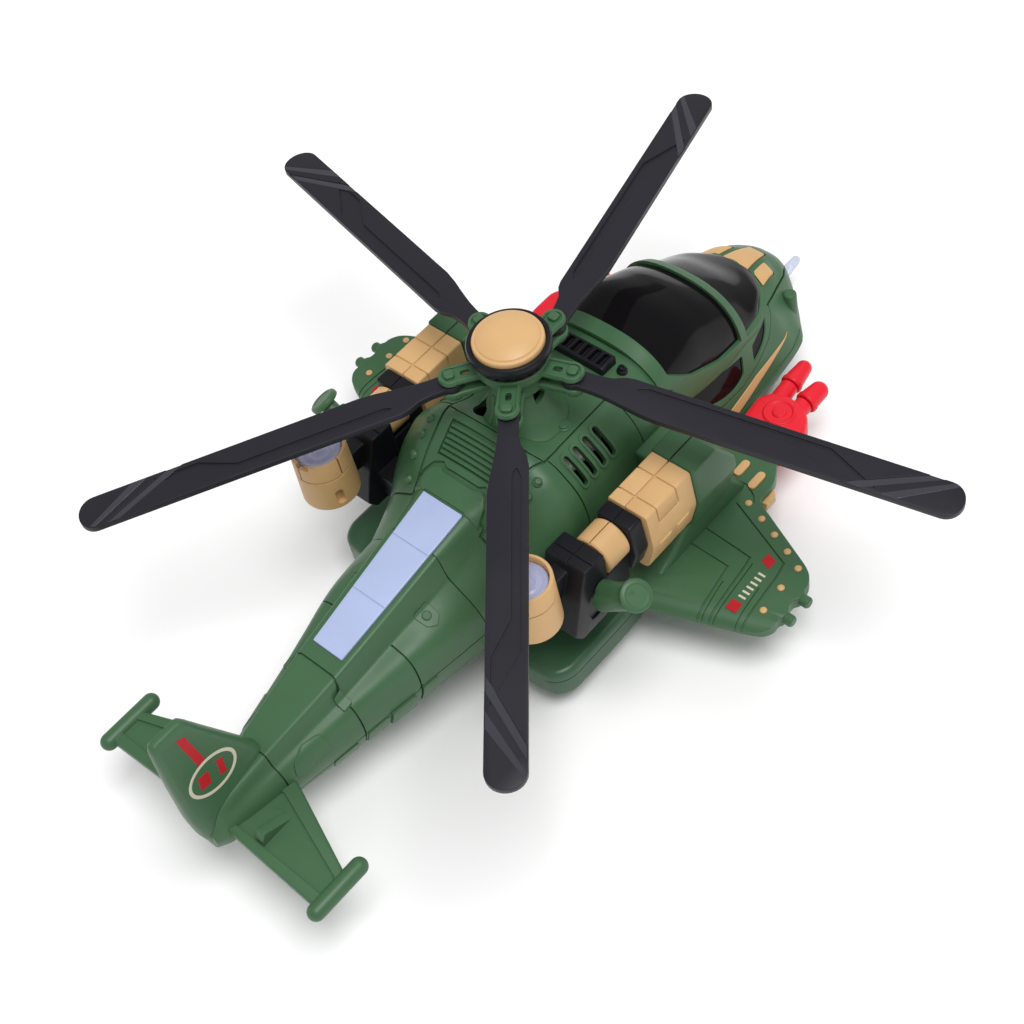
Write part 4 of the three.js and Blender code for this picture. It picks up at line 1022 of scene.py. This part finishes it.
def hub_lower():
    """Lower clevis plate: five fingers, each with a web and the hinge bolt."""
    hub = revolve("disc", [(2.56, 91), (10.6, 91), (11, 91.4), (11, 97.8), (10.6, 98.2), (2.56, 98.2)])
    for i in range(5):
        finger = prism("finger", arm_outline(4.8, 4.5), "z", 92.4, 94.9, 0.5)
        join(finger, revolve("boss", [(3.3, 90.6), (3.5, 90.9), (3.5, 93), (0, 93)], (PIN_RADIUS, 0, 0),
                             segments=32))
        web = prism("web", [(8, 92), (17.5, 92), (12, 97.8), (8, 97.8)], "y", -0.8, 0.8)
        join(finger, web)
        join(finger, revolve("pin", [(1.6, 94), (1.6, 99.2), (1.4, 99.4), (0, 99.4)], (PIN_RADIUS, 0, 0),
                             segments=24))
        join(hub, about_mast(finger, HUB_PHASE - 72 * i))
    cut(hub, revolve("bore", [(2.56, 90), (2.56, 104)]))
    piece(hub, "hub_lower.look", GREEN, "rotor", ["hub_lower"])


def rotor_crown():
    """Toothed black ring, tan cap and the shaft."""
    ring_profile = [(2.56, 102.6), (12.2, 102.6), (12.3, 105.4), (13.9, 105.6), (14.6, 106.2), (14.8, 107.4),
                    (14.8, 108.9), (14.3, 109.7), (13.6, 109.9), (12.9, 109.6), (12.8, 107.5), (2.56, 107.5)]
    ring = revolve("ring", ring_profile, segments=96)
    for i in range(24):
        tab = block("tab", (11.6, -0.7, 102.8), (13.0, 0.7, 105.9), 0.2)
        join(ring, about_mast(tab, 15 * i))
    piece(ring, "rotor_ring.look", BLACK, "rotor", ["rotor_ring"])
    cap_profile = [(0, 107.8), (12.6, 107.8), (12.6, 110.3), (12.35, 110.9), (11.6, 111.2), (11.2, 111.15),
                   (11.0, 111.6), (9.6, 112.4), (7.4, 113.2), (5.2, 113.8), (2.6, 114.1), (0, 114.15)]
    cap = revolve("cap", cap_profile, segments=96)
    piece(cap, "rotor_cap.look", TAN, "rotor", ["rotor_cap"], 28)
    shaft = revolve("shaft", [(2.2, 55), (2.5, 55.3), (2.5, 102.2), (2.3, 102.4), (0, 102.4)], segments=40)
    piece(shaft, "rotor_shaft.look", STEEL, "rotor", ["rotor_shaft"])


def blade_plan(inset=0.0):
    """Blade outline from the hinge eye at x 0 to the rounded tip; the +y side flares out first."""
    half = BLADE_HALF - inset
    lower = [(0, -3.4 + inset), (8, -3.5 + inset), (13, -3.9 + inset), (20, -5.0 + inset),
             (26, -6.1 + inset), (32, -half)]
    tip = [(BLADE_LENGTH - 6 + (6 - inset) * math.cos(a), half * math.sin(a))
           for a in np.linspace(-math.pi / 2, math.pi / 2, 15)]
    upper = [(20, half), (17, 6.2 - inset), (13, 4.2 - inset), (8, 3.5 - inset), (0, 3.4 - inset)]
    return lower + tip + upper


# Two slanting bands near the blade tip, across the chord; the lighter colour of their strips is painted
# sheen.
GLOSSY_BAND = [(121.6, BLADE_HALF), (96.2, -BLADE_HALF), (102.4, -BLADE_HALF), (126.8, BLADE_HALF)]
SHEEN_BAND = [(130.6, BLADE_HALF), (108.6, -BLADE_HALF), (114.4, -BLADE_HALF), (133.4, BLADE_HALF)]


def blade_flat():
    """The blade before it droops and turns: sunk field, sunk band and the bolt eye."""
    body = prism("blade", blade_plan(), "z", -1.2, 1.2)
    eye = revolve("eye", [(4.1, -1.2), (4.1, 1.2)], segments=36)
    join(body, eye)
    bevelled(body, 0.35, 3, 40)
    field = [(26, 4.6), (22.4, 3.2), (22.4, 2.4), (25, 1.4), (78, 1.4), (91, -4.9), (107.5, -4.9),
             (89.5, 4.6)]
    cut(body, prism("field", rounded(field, 0.5), "z", 0.55, 3))
    cut(body, prism("band", GLOSSY_BAND, "z", 0.8, 3))
    return cut(body, revolve("hole", [(1.8, -3), (1.8, 3)], segments=32))


def place_blade(obj, index):
    """Moves a blade part from its own frame to its place on the hub."""
    droop = Matrix(((1, 0, 0, 0), (0, 1, 0, 0), (-BLADE_DROOP, 0, 1, 0), (0, 0, 0, 1)))
    pin_angle = math.radians(HUB_PHASE - 72 * index)
    root = Matrix.Translation(Vector((PIN_RADIUS * math.cos(pin_angle), PIN_RADIUS * math.sin(pin_angle),
                                      PIN_Z - 3.2)) * MM)
    swing = Matrix.Rotation(pin_angle + math.radians(BLADE_SWING[index]), 4, "Z")
    return transformed(obj, root @ swing @ droop)


def blades():
    """Five blades, each with its glossy and raised bands, whose lighter colour is painted sheen."""
    flat = blade_flat()
    strips = []
    for outline, low, high in ((GLOSSY_BAND, 0.86, 0.92), (SHEEN_BAND, 1.14, 1.26)):
        strip = prism("strip", outline, "z", low, high)
        overlap(strip, prism("chord", blade_plan(0.35), "z", -3, 3))
        strips.append(strip)
    for index, letter in enumerate("abcde"):
        body = f"blade_{letter}"
        blade = place_blade(copy_of(flat), index)
        piece(blade, f"blade_{index + 1}.look", BLADE, body, [f"blade_{index + 1}"])
        for k, strip in enumerate(strips):
            band = place_blade(copy_of(strip), index)
            piece(band, f"blade_{index + 1}.band_{k + 1}", BLADE_GLOSS_AND_SHEEN, body)
    for obj in [flat] + strips:
        bpy.data.objects.remove(obj)


# ---- wings ---------------------------------------------------------------------
WING_OUTLINE = [
    (30, -66), (44, -68.4), (56, -68), (61.6, -63), (66, -56), (67.6, -51), (67.2, -44), (100.4, -29.1),
    (103.2, -24.6), (103.4, -21.8), (104.4, -20.8), (104.4, -17.6), (102.9, -16), (102.9, -12.8),
    (104.4, -11.4), (104.4, -8), (103.3, -6.6), (103.6, -3.6), (102.2, -0.6), (99.4, 1.4), (93.4, 3.8),
    (64.4, 14.2), (30, 24),
]
WING_RADII = (0, 4, 4, 4, 4, 3, 2.5, 5, 2, 1, 1, 1.2, 1.2, 1.2, 1.2, 1, 1, 1.5, 2, 3, 4, 4, 0)
RIVETS = [(65.1, -40.6), (73.2, -37.6), (81.1, -34.5), (89.2, -31.2), (96.5, -27.5), (96.5, -17.4),
          (97.1, -6.3)]
PAD_SLOTS = [(53.6, -55.8, -48.1), (61.5, -54.6, -46.2)]


def wing_blank(drop=0.0):
    """Wing plate with a rounded trailing edge; drop lowers its top for the bottom of the panel lines."""
    plate = prism("wing", rounded(WING_OUTLINE, WING_RADII), "z", 18.2, WING_TOP - drop)
    if not drop:
        bevelled(plate, 1.5, 6, 40)
    fall = [(-120, 10), (-120, WING_TOP - drop), (-9, WING_TOP - drop), (-5, WING_TOP - 0.25 - drop),
            (-2.6, WING_TOP - 0.9 - drop), (-1.0, WING_TOP - 1.9 - drop), (-0.2, 20.4 - drop),
            (0.2 - drop * 0.4, 18.2), (0, 10)]
    section = prism("section", fall, "x", -80, 80)
    turn = Matrix.Translation((78.9 * MM, 9 * MM, 0)) @ Matrix.Rotation(math.radians(-19.7), 4, "Z")
    return overlap(plate, transformed(section, turn))


def wing_grooves():
    """Panel lines on top of the wing."""
    paths = [
        ([(61.2, -38.3), (91.2, -26.3), (92.4, -20.5), (95.0, 8)], 0.7),
        ([(90.2, -13), (92.8, 8)], 0.4),
        ([(57, -23), (79.9, -21.6), (80.6, -18), (83.8, 12)], 0.7),
        ([(82.2, -20), (85.3, 12)], 0.4),
        ([(53.9, -14.6), (75.7, -14), (76.4, -10), (80.2, 14)], 0.7),
        ([(78.2, -8), (81.8, 14)], 0.4),
        ([(49, -45.6), (53.2, -47), (59.8, -47), (64.5, -44.4), (66.4, -42)], 0.5),
    ]
    return [curtain("g", path, "z", 19.4, WING_TOP + 3, width) for path, width in paths]


def wing():
    """Wing plate with the ramp, engine cowl, support and stub bolts."""
    skin = wing_blank()
    panel_lines(skin, wing_blank(0.7), wing_grooves())
    ramp = prism("ramp", [(34, 22), (58, 22), (50.5, 24.6), (45.5, 28.2), (41.5, 34.0), (34, 40)], "y", -44,
                 12)
    bevelled(ramp, 1.6, 5, 20)
    cowl = prism("cowl", [(44.2, 34.4), (60.6, 35), (64.6, 50.5), (62.6, 66.8), (44.2, 66.8)], "y", -36.6,
                 -15.2)
    cut(cowl, prism("slope", [(-60, 40), (-36.6, 55), (-28, 66.9), (-28, 80), (-60, 80)], "x", 30, 80))
    bevelled(cowl, 1.2, 5, 20)
    support = prism("support", [(-48, 22), (6, 22), (-4, 27), (-14, 37), (-30, 46), (-35.6, 44)], "x", 43,
                    59.5)
    bevelled(support, 2.2, 5, 20)
    brace = block("brace", (34, -34, 30), (46, -17, 56), 1.2)
    for extra in (ramp, cowl, support, brace):
        join(skin, extra)
    for y in (-19.2, -9.7):
        join(skin, revolve("stub", [(2.2, 0), (2.2, 5.8), (1.7, 6.5), (0, 6.5)], (101, y, 20.8), (1, 0, 0),
                           28))
    cut(skin, prism("seam", [(-50, 40), (-36.6, 53.9), (-28, 65.8), (-10, 65.8), (-10, 80), (-50, 80)], "x",
                    52.3, 52.9))
    cut(skin, block("air", (43, -15.2, 35), (66, 12, 70)))
    slots = [capsule(x, y0, y1, 1.75, WING_TOP - 1.6, WING_TOP + 4) for x, y0, y1 in PAD_SLOTS]
    cut(skin, body_solid("skin"), *slots)
    pair(skin, "wing", GREEN, ["wing"])
    wing_marks()


def wing_marks():
    """Tan rivets, two red squares and a row of plain pale ticks on each wing."""
    for i, (x, y) in enumerate(RIVETS):
        rivet = revolve("rivet", [(1.35, -0.6), (1.35, 0.25), (1.0, 0.62), (0.4, 0.78), (0, 0.8)],
                        (x, y, WING_TOP), segments=24)
        pair(rivet, f"wing_rivet_{i + 1}", TAN)
    for i, corners in enumerate(([(84.1, -22.6), (84.3, -26.7), (88.4, -25.7), (88.2, -21.5)],
                                 [(85.6, 0.4), (85.4, -4.1), (89.7, -4.2), (89.9, 0.3)])):
        pair(prism("mark", corners, "z", WING_TOP - 0.1, WING_TOP + 0.06), f"wing_mark_{i + 1}", RED_PAINT)
    for i in range(6):
        y = -18.4 + i * 2.3
        tick = prism("tick", [(86.3, y), (89.3, y), (89.3, y + 0.9), (86.3, y + 0.9)], "z", WING_TOP - 0.1,
                     WING_TOP + 0.06)
        pair(tick, f"wing_tick_{i + 1}", PALE_PAINT)


def wing_insert():
    """Tan insert in the two pad slots and the tan nub on the leading edge."""
    tabs = [capsule(x, y0, y1, 1.6, WING_TOP - 1.5, WING_TOP + 0.9) for x, y0, y1 in PAD_SLOTS]
    insert = join(tabs[0], block("bridge", (53, -52, WING_TOP - 1.4), (61.6, -50, WING_TOP - 0.8)), tabs[1])
    bevelled(insert, 0.45, 3, 50)
    pair(insert, "wing_insert", TAN, ["wing_insert"])
    nub = prism("nub", rounded([(60, -53), (67.4, -53), (69.4, -51), (69.4, -45.6), (60, -44.6)], 0.6), "z",
                16.4, 20.4)
    bevelled(nub, 0.5, 3, 40)
    cut(nub, prism("under", rounded(WING_OUTLINE, WING_RADII), "z", 18.1, 30))
    pair(nub, "wing_nub", TAN)


# ---- engines -------------------------------------------------------------------
def nacelle():
    """Tan engine casing with seams and ledges."""
    profile = [(45, 35.5), (59.7, 36), (63.5, 50.5), (61.7, 66.5), (45, 66.5), (43.6, 50)]
    outer = prism("nacelle", rounded(profile, (1, 3, 2, 1.2, 1, 1)), "y", -14.9, 9.0)
    inset = prism("inset", rounded([(54 + (x - 54) * 0.93, 51 + (z - 51) * 0.954) for x, z in profile], 1.0),
                  "y", -14.2, 8.3)
    walls = [block("g", (52.25, -20, 60), (52.85, 20, 70)), block("g", (40, -7.2, 59.2), (70, -6.6, 70)),
             block("g", (40, 3.3, 59.2), (70, 3.9, 70)), block("g", (58, -7.2, 59), (70, 3.9, 59.6))]
    cut(outer, *walls)
    join(outer, inset)
    for y in (-10.5, -0.8):
        ledge = [(61.0, 44.2), (63.0, 50.6), (63.8, 50.2), (62.2, 43.4)]
        join(outer, prism("ledge", ledge, "y", y, y + 6.5))
    bevelled(outer, 0.3, 2, 40)
    pair(outer, "nacelle", TAN, ["nacelle"])


def sleeve():
    """Tan tube between the casing and the yoke."""
    tube = revolve("sleeve", [(7.4, 16.3), (8, 16.9), (8, 26.8), (7.4, 27.4)], (52, 0, 58), (0, 1, 0), 64)
    cut(tube, block("seam", (51.75, 10, 64.9), (52.25, 30, 70)))
    pair(tube, "engine_sleeve", TAN, ["engine_sleeve"])


def engine_yoke():
    """Black carrier of the engine: collar, bulk, beam, root and lug."""
    collar = prism("collar", [(45.4, 42), (58.6, 42), (61.8, 52), (60, 65.9), (45.4, 65.9)], "y", 9.3, 16)
    bevelled(collar, 1.0, 4, 20)
    cut(collar, block("seam", (52.3, 5, 65.2), (52.8, 20, 70)))
    bulk = prism("bulk", rounded([(27.7, 65), (37.7, 65), (43.5, 50), (47.5, 38), (44, 33), (27.7, 33)], 1),
                 "x", 41, 58.6)
    bevelled(bulk, 0.8, 4, 40)
    cut(bulk, block("slot", (38, 33.4, 64.4), (60, 33.9, 70)),
        block("seam", (49.9, 20, 64.4), (50.4, 60, 70)))
    cut(bulk, prism("pocket", rounded([(31, 38), (38, 38), (39.5, 43), (36.5, 53), (31, 53)], 1), "x", 57.9,
                    60))
    beam = block("beam", (46, 15.5, 36), (57, 28.5, 49.7), 0.9)
    root = block("root", (28, 29, 36), (42, 40, 48), 1.0)
    lug = block("lug", (45, 37, 52), (51.6, 50, 62), 0.8)
    for extra in (bulk, beam, root, lug):
        join(collar, extra)
    blank = rod("blank", (THRUSTER_X, THRUSTER_Y, 50.7), (THRUSTER_X, THRUSTER_Y, 75.5), 11.1, 10.5, 64)
    cut(collar, blank, body_solid("skin"), rod("sleeve", (52, 16.2, 58), (52, 27.5, 58), 8.1))
    pair(collar, "engine_yoke", BLACK, ["engine_yoke"])


def thruster():
    """Tan upright barrel and its stepped lens."""
    centre = (THRUSTER_X, THRUSTER_Y, 0)
    barrel = revolve("barrel", [(9.6, 51), (10.8, 52.2), (10.75, 54.4), (10.2, 74.7), (9.9, 75.2),
                                (9.0, 75.2), (8.8, 74.8), (8.8, 68)], centre, segments=96)
    cut(barrel, solid_ring(10.0, 12, 66.6, 67.2, centre, (0, 0, 1), 96))
    cut(barrel, block("seam", (48.0, 62, 66.9), (48.6, 70, 80)),
        block("seam", (34, 55.2, 67), (39, 55.8, 80)), block("rim", (46, 61.5, 74.4), (46.7, 70, 80)))
    slot = prism("slot", rounded([(57.5, 54), (60.5, 54), (60.5, 61), (57.5, 61)], 1.4), "x", 34, 40)
    cut(barrel, slot, block("notch", (44, 64.2, 73.6), (49, 70, 80)))
    pair(barrel, "thruster_barrel", TAN, ["thruster_barrel"])
    profile = [(0, 68.4), (8.5, 68.4), (8.5, 72.6), (7.9, 73.2), (7.1, 73.3), (6.5, 72.8), (5.9, 72.7),
               (5.0, 73.3), (4.3, 73.5), (3.5, 73.1), (2.8, 73.0), (1.8, 73.7), (0, 73.95)]
    lens = revolve("lens", profile, centre, segments=72)
    pair(lens, "thruster_lens", MILKY, ["thruster_lens"], angle=50)


def stub_cap():
    """Green capped stub that leans out of the yoke."""
    direction = Vector((0.6, 0.15, 0.79)).normalized()
    top = Vector((75.1, 31.5, 59.5))
    cap = revolve("cap", [(4.8, -2.6), (5.8, -2.1), (5.9, -1.2), (5.7, -0.5), (5.1, -0.1), (4.2, 0.0),
                          (3.8, -0.25), (0, -0.2)],
                  top, direction, 56)
    join(cap, rod("stem", (57.5, 32, 50), tuple(top - direction * 1.6), 3.4, 3.0, 36))
    foot = rod("foot", (59, 32.4, 46), tuple(top - direction * 6.5), 5.4, 4.9, 40, bevel=0.8)
    join(cap, foot)
    cut(cap, block("flush", (30, 20, 20), (58.9, 60, 80)))
    pair(cap, "stub_cap", GREEN, ["stub_cap"])


# ---- launchers and gun ---------------------------------------------------------
MISSILES = (
    ("missile_1", "missile_outer", (52.4, -80, 21), (53.9, -103.5, 21)),
    ("missile_2", "missile_inner", (44.2, -83, 20.6), (41.9, -109.3, 20.6)),
)


def launcher():
    """Red pod under each wing root with two barrels and a round relief on top."""
    outline = [(38.6, -81.5), (41.2, -86.2), (47, -88.6), (54.5, -88.4), (60, -84.4), (63, -79), (63, -67),
               (58, -60.5), (44, -60), (39.5, -72)]
    box = prism("launcher", rounded(outline, 2), "z", 15.6, 26.2)
    bevelled(box, 2.6, 6, 40)
    join(box, block("pylon", (36, -72.5, 15.4), (48, -62, 22), 0.6))
    relief = [(6.4, 24), (6.4, 26.3), (5.8, 26.9), (5.2, 26.8), (4.8, 26.4), (2.8, 26.4), (2.4, 27.0),
              (0, 27.2)]
    join(box, revolve("relief", relief, (50.5, -79.5, 0), segments=48))
    for *_, tail, tip in MISSILES:
        along = Vector(tip) - Vector(tail)
        start = Vector(tail) + along.normalized() * 2
        join(box, rod("barrel", tuple(start), tuple(Vector(tail) + along * 0.485), 3.7, 3.6, 40, bevel=0.3))
        cut(box, rod("bore", tail, tip, 2.2, segments=40))
    cut(box, prism("groove", [(-95, 20.6), (-55, 20.6), (-55, 21.0), (-95, 21.0)], "x", 60.8, 70))
    cut(box, body_solid("skin"), prism("under", WING_OUTLINE, "z", 17.9, 24.0))
    pair(box, "launcher", RED, ["launcher"])


def missile_profile(length, waist, belly):
    """Tail stem, a collar, then a bullet nose with the given radii."""
    half = length * 0.5
    nose = [(belly * math.cos(a), length - belly * 0.95 * (1 - math.sin(a)))
            for a in np.linspace(0.1, math.pi / 2 - 0.12, 9)]
    return [(2.0, 0.4), (2.0, half), (waist - 0.4, half + 0.1), (waist, half + 0.7), (waist, half + 2.0),
            (waist - 0.45, half + 2.3), (waist - 0.5, half + 4)] + nose + [(0, length)]


def missiles():
    """Two missiles a side, each on its own sliding body."""
    for name, body, tail, tip in MISSILES:
        along = Vector(tip) - Vector(tail)
        waist, belly = (4.6, 3.7) if name == "missile_1" else (4.3, 3.1)
        shape = revolve("missile", missile_profile(along.length, waist, belly), tail, along, 40)
        twin = mirrored(shape)
        for side, item in (("left", shape), ("right", twin)):
            node = f"{name}_{side}"
            piece(item, node + ".look", RED, f"{body}_{side}", [node])


def nose_gun():
    """Clear gun under the nose."""
    along = Vector((0, -23, 2.8))
    length = along.length
    profile = [(0, -4), (3.0, -3.4), (4.2, -1.6), (4.4, 0.4), (4.0, 2.2), (3.2, 3.2), (2.8, 4.5),
               (2.5, length * 0.5), (2.0, length * 0.90), (1.7, length * 0.97), (1.2, length), (0, length)]
    gun = revolve("gun", profile, (0, -137.2, 7.95), along, 40)
    cut(gun, body_solid("skin"))
    piece(gun, "nose_gun.look", CLEAR, "airframe", ["nose_gun"], 40)


# ---- underside -----------------------------------------------------------------
def battery_door():
    """Door under the belly with finger ribs and a screw."""
    door = prism("door", rounded([(-23.7, -26.7), (23.7, -26.7), (23.7, 28.7), (-23.7, 28.7)], 1.2), "z",
                 0.0, 1.9)
    bevelled(door, 0.3, 2, 40)
    for i in range(7):
        cut(door, block("rib", (-9, -22 + 2.6 * i, -1), (9, -20.8 + 2.6 * i, 0.5)))
    cut(door, revolve("screw_well", [(2.4, -1), (2.4, 0.8)], (0, 25.5, 0), segments=32))
    piece(door, "battery_door.look", DARK_GREEN, "airframe", ["battery_door"])
    screw = revolve("screw", [(0, 0.3), (1.8, 0.3), (2.1, 0.7), (2.1, 0.95), (0, 0.95)], (0, 25.5, 0),
                    segments=32)
    cut(screw, block("slot", (-1.6, 25.25, -1), (1.6, 25.75, 0.55)),
        block("slot", (-0.25, 23.9, -1), (0.25, 27.1, 0.55)))
    piece(screw, "door_screw.look", STEEL, "airframe")


def wheels(name, body, y, reach):
    """Two wheels with a grooved tread and a dished hub on one steel axle."""
    axle = rod("axle", (-reach, y, AXLE_Z), (reach, y, AXLE_Z), 1.5, segments=32)
    tread = [(6.0, -3), (7.5, -3), (8, -2.4), (8, -0.5), (7.6, -0.3), (7.6, 0.3), (8, 0.5), (8, 2.4),
             (7.5, 3), (6.0, 3), (5.6, 2.2), (2.4, 2.2), (2.2, 2.8), (0, 2.8)]
    for side in (1, -1):
        join(axle, revolve("wheel", [(0, -3)] + tread, (side * reach, y, AXLE_Z), (side, 0, 0), 64))
    piece(axle, f"{name}.look", RUBBER, body, [name], 30)


def turntable():
    """Disc under the nose that carries the drive wheels, with two rings scored in its face."""
    y = TURNTABLE_Y
    disc = revolve("disc", [(20.6, 0.6), (21.2, 1.0), (21.2, 3.3), (24.6, 3.3), (24.6, 5.0)], (0, y, 0),
                   segments=96)
    join(disc, block("unit", (-8.5, y - 9, 1), (8.5, y + 9, 18), 0.8))
    cut(disc, *both(block("slot", (9.3, y - 9.2, -5), (17.5, y + 9.2, 20))))
    for radius in (12.0, 18.6):
        cut(disc, solid_ring(radius, radius + 0.5, -1, 1.0, (0, y, 0), (0, 0, 1)))
    cut(disc, rod("bore", (-30, y, AXLE_Z), (30, y, AXLE_Z), 1.56))
    piece(disc, "turntable.look", BLACK, "swivel", ["turntable"])


def switch():
    """Ribbed slider on its plate."""
    slider = block("slider", (-21.6, -53, -0.8), (-18.4, -49, 2.6), 0.3)
    for i in range(3):
        cut(slider, block("grip", (-22, -52.3 + 1.1 * i, -2), (-18, -51.8 + 1.1 * i, -0.45)))
    join(slider, block("plate", (-24, -55, 2.3), (-16, -47, 4)))
    piece(slider, "switch_slider.look", BLACK, "switch", ["switch_slider"])


# ---- inner works kept from the frame -------------------------------------------
KEPT = {
    "cockpit_tub": SEAT, "motor": STEEL, "motor_pinion": BRASS, "rotor_gear": NYLON, "gearbox": NYLON,
    "circuit_board": BOARD, "speaker": BLACK, "battery_1": CELL, "battery_2": CELL, "battery_3": CELL,
}


def finish_kept_nodes():
    """New materials for the CAD nodes that stay."""
    for name, material in KEPT.items():
        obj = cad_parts[name]
        obj.data.materials.clear()
        obj.data.materials.append(material)


# ---- scene ---------------------------------------------------------------------
def floor():
    """Plain pale floor under the wheels."""
    verts = [(-6000, -6000, -4.2), (6000, -6000, -4.2), (6000, 6000, -4.2), (-6000, 6000, -4.2)]
    ground = new_object("floor", verts, [(0, 1, 2, 3)])
    material = bpy.data.materials.new("floor")
    material.use_nodes = True
    tree = material.node_tree
    shader = tree.nodes["Principled BSDF"]
    noise = node(tree, "ShaderNodeTexNoise", {"Scale": 3.0, "Detail": 2.0})
    tree.links.new(mixed(tree, noise.outputs["Fac"], (0.94, 0.94, 0.94, 1), (0.96, 0.96, 0.96, 1)),
                   shader.inputs["Base Color"])
    shader.inputs["Roughness"].default_value = 0.9
    ground.data.materials.append(material)


def area_light(name, place, target, size, power):
    """Round soft light; only the key shows in reflections."""
    data = bpy.data.lights.new(name, "AREA")
    data.shape = "DISK"
    data.size = size
    data.energy = power
    lamp = bpy.data.objects.new(name, data)
    lamp.location = place
    lamp.rotation_euler = (Vector(target) - Vector(place)).to_track_quat("-Z", "Y").to_euler()
    lamp.visible_glossy = name == "key"
    bpy.context.scene.collection.objects.link(lamp)


def lights():
    """White studio world with one soft key and two weak fills."""
    world = bpy.data.worlds.new("studio")
    bpy.context.scene.world = world
    world.use_nodes = True
    background = world.node_tree.nodes["Background"]
    background.inputs["Color"].default_value = (1, 1, 1, 1)
    background.inputs["Strength"].default_value = 0.44
    middle = (0, 0, 0.05)
    area_light("key", (-0.5, 0.1, 1.5), middle, 0.9, 18)
    area_light("fill", (0.7, 0.9, 0.9), middle, 1.0, 3)
    area_light("front", (0.3, -1.1, 0.9), middle, 0.9, 4)


def camera():
    """The one camera, above and behind the right side."""
    data = bpy.data.cameras.new("camera")
    data.lens = 63.63
    data.sensor_width = 36
    right = Vector((-0.744174, -0.652279, -0.144004))
    up = Vector((0.462471, -0.658661, 0.593537))
    back = Vector((-0.482001, 0.375097, 0.791819))
    turn = Matrix((right, up, back)).transposed().to_4x4()
    obj = bpy.data.objects.new("camera", data)
    obj.matrix_world = Matrix.Translation((-0.319796, 0.264496, 0.555175)) @ turn
    bpy.context.scene.collection.objects.link(obj)
    bpy.context.scene.camera = obj


def build():
    for make in (fuselage, shoulder_studs, hatch_panel, nose_trim, boom, spine_light, fin, stabiliser,
                 canopy_glass, canopy_frame, intake, mast_shroud, hub_lower, hub_upper, rotor_crown, blades,
                 wing, wing_insert, nacelle, sleeve, engine_yoke, thruster, stub_cap, launcher, missiles,
                 nose_gun, battery_door, turntable, switch, finish_kept_nodes):
        make()
    wheels("drive_wheelset", "front_wheels", TURNTABLE_Y, 13.4)
    wheels("rear_wheelset", "rear_wheels", REAR_AXLE_Y, 23.5)


build()
floor()
lights()
camera()
bpy.context.scene.view_settings.view_transform = "Standard"
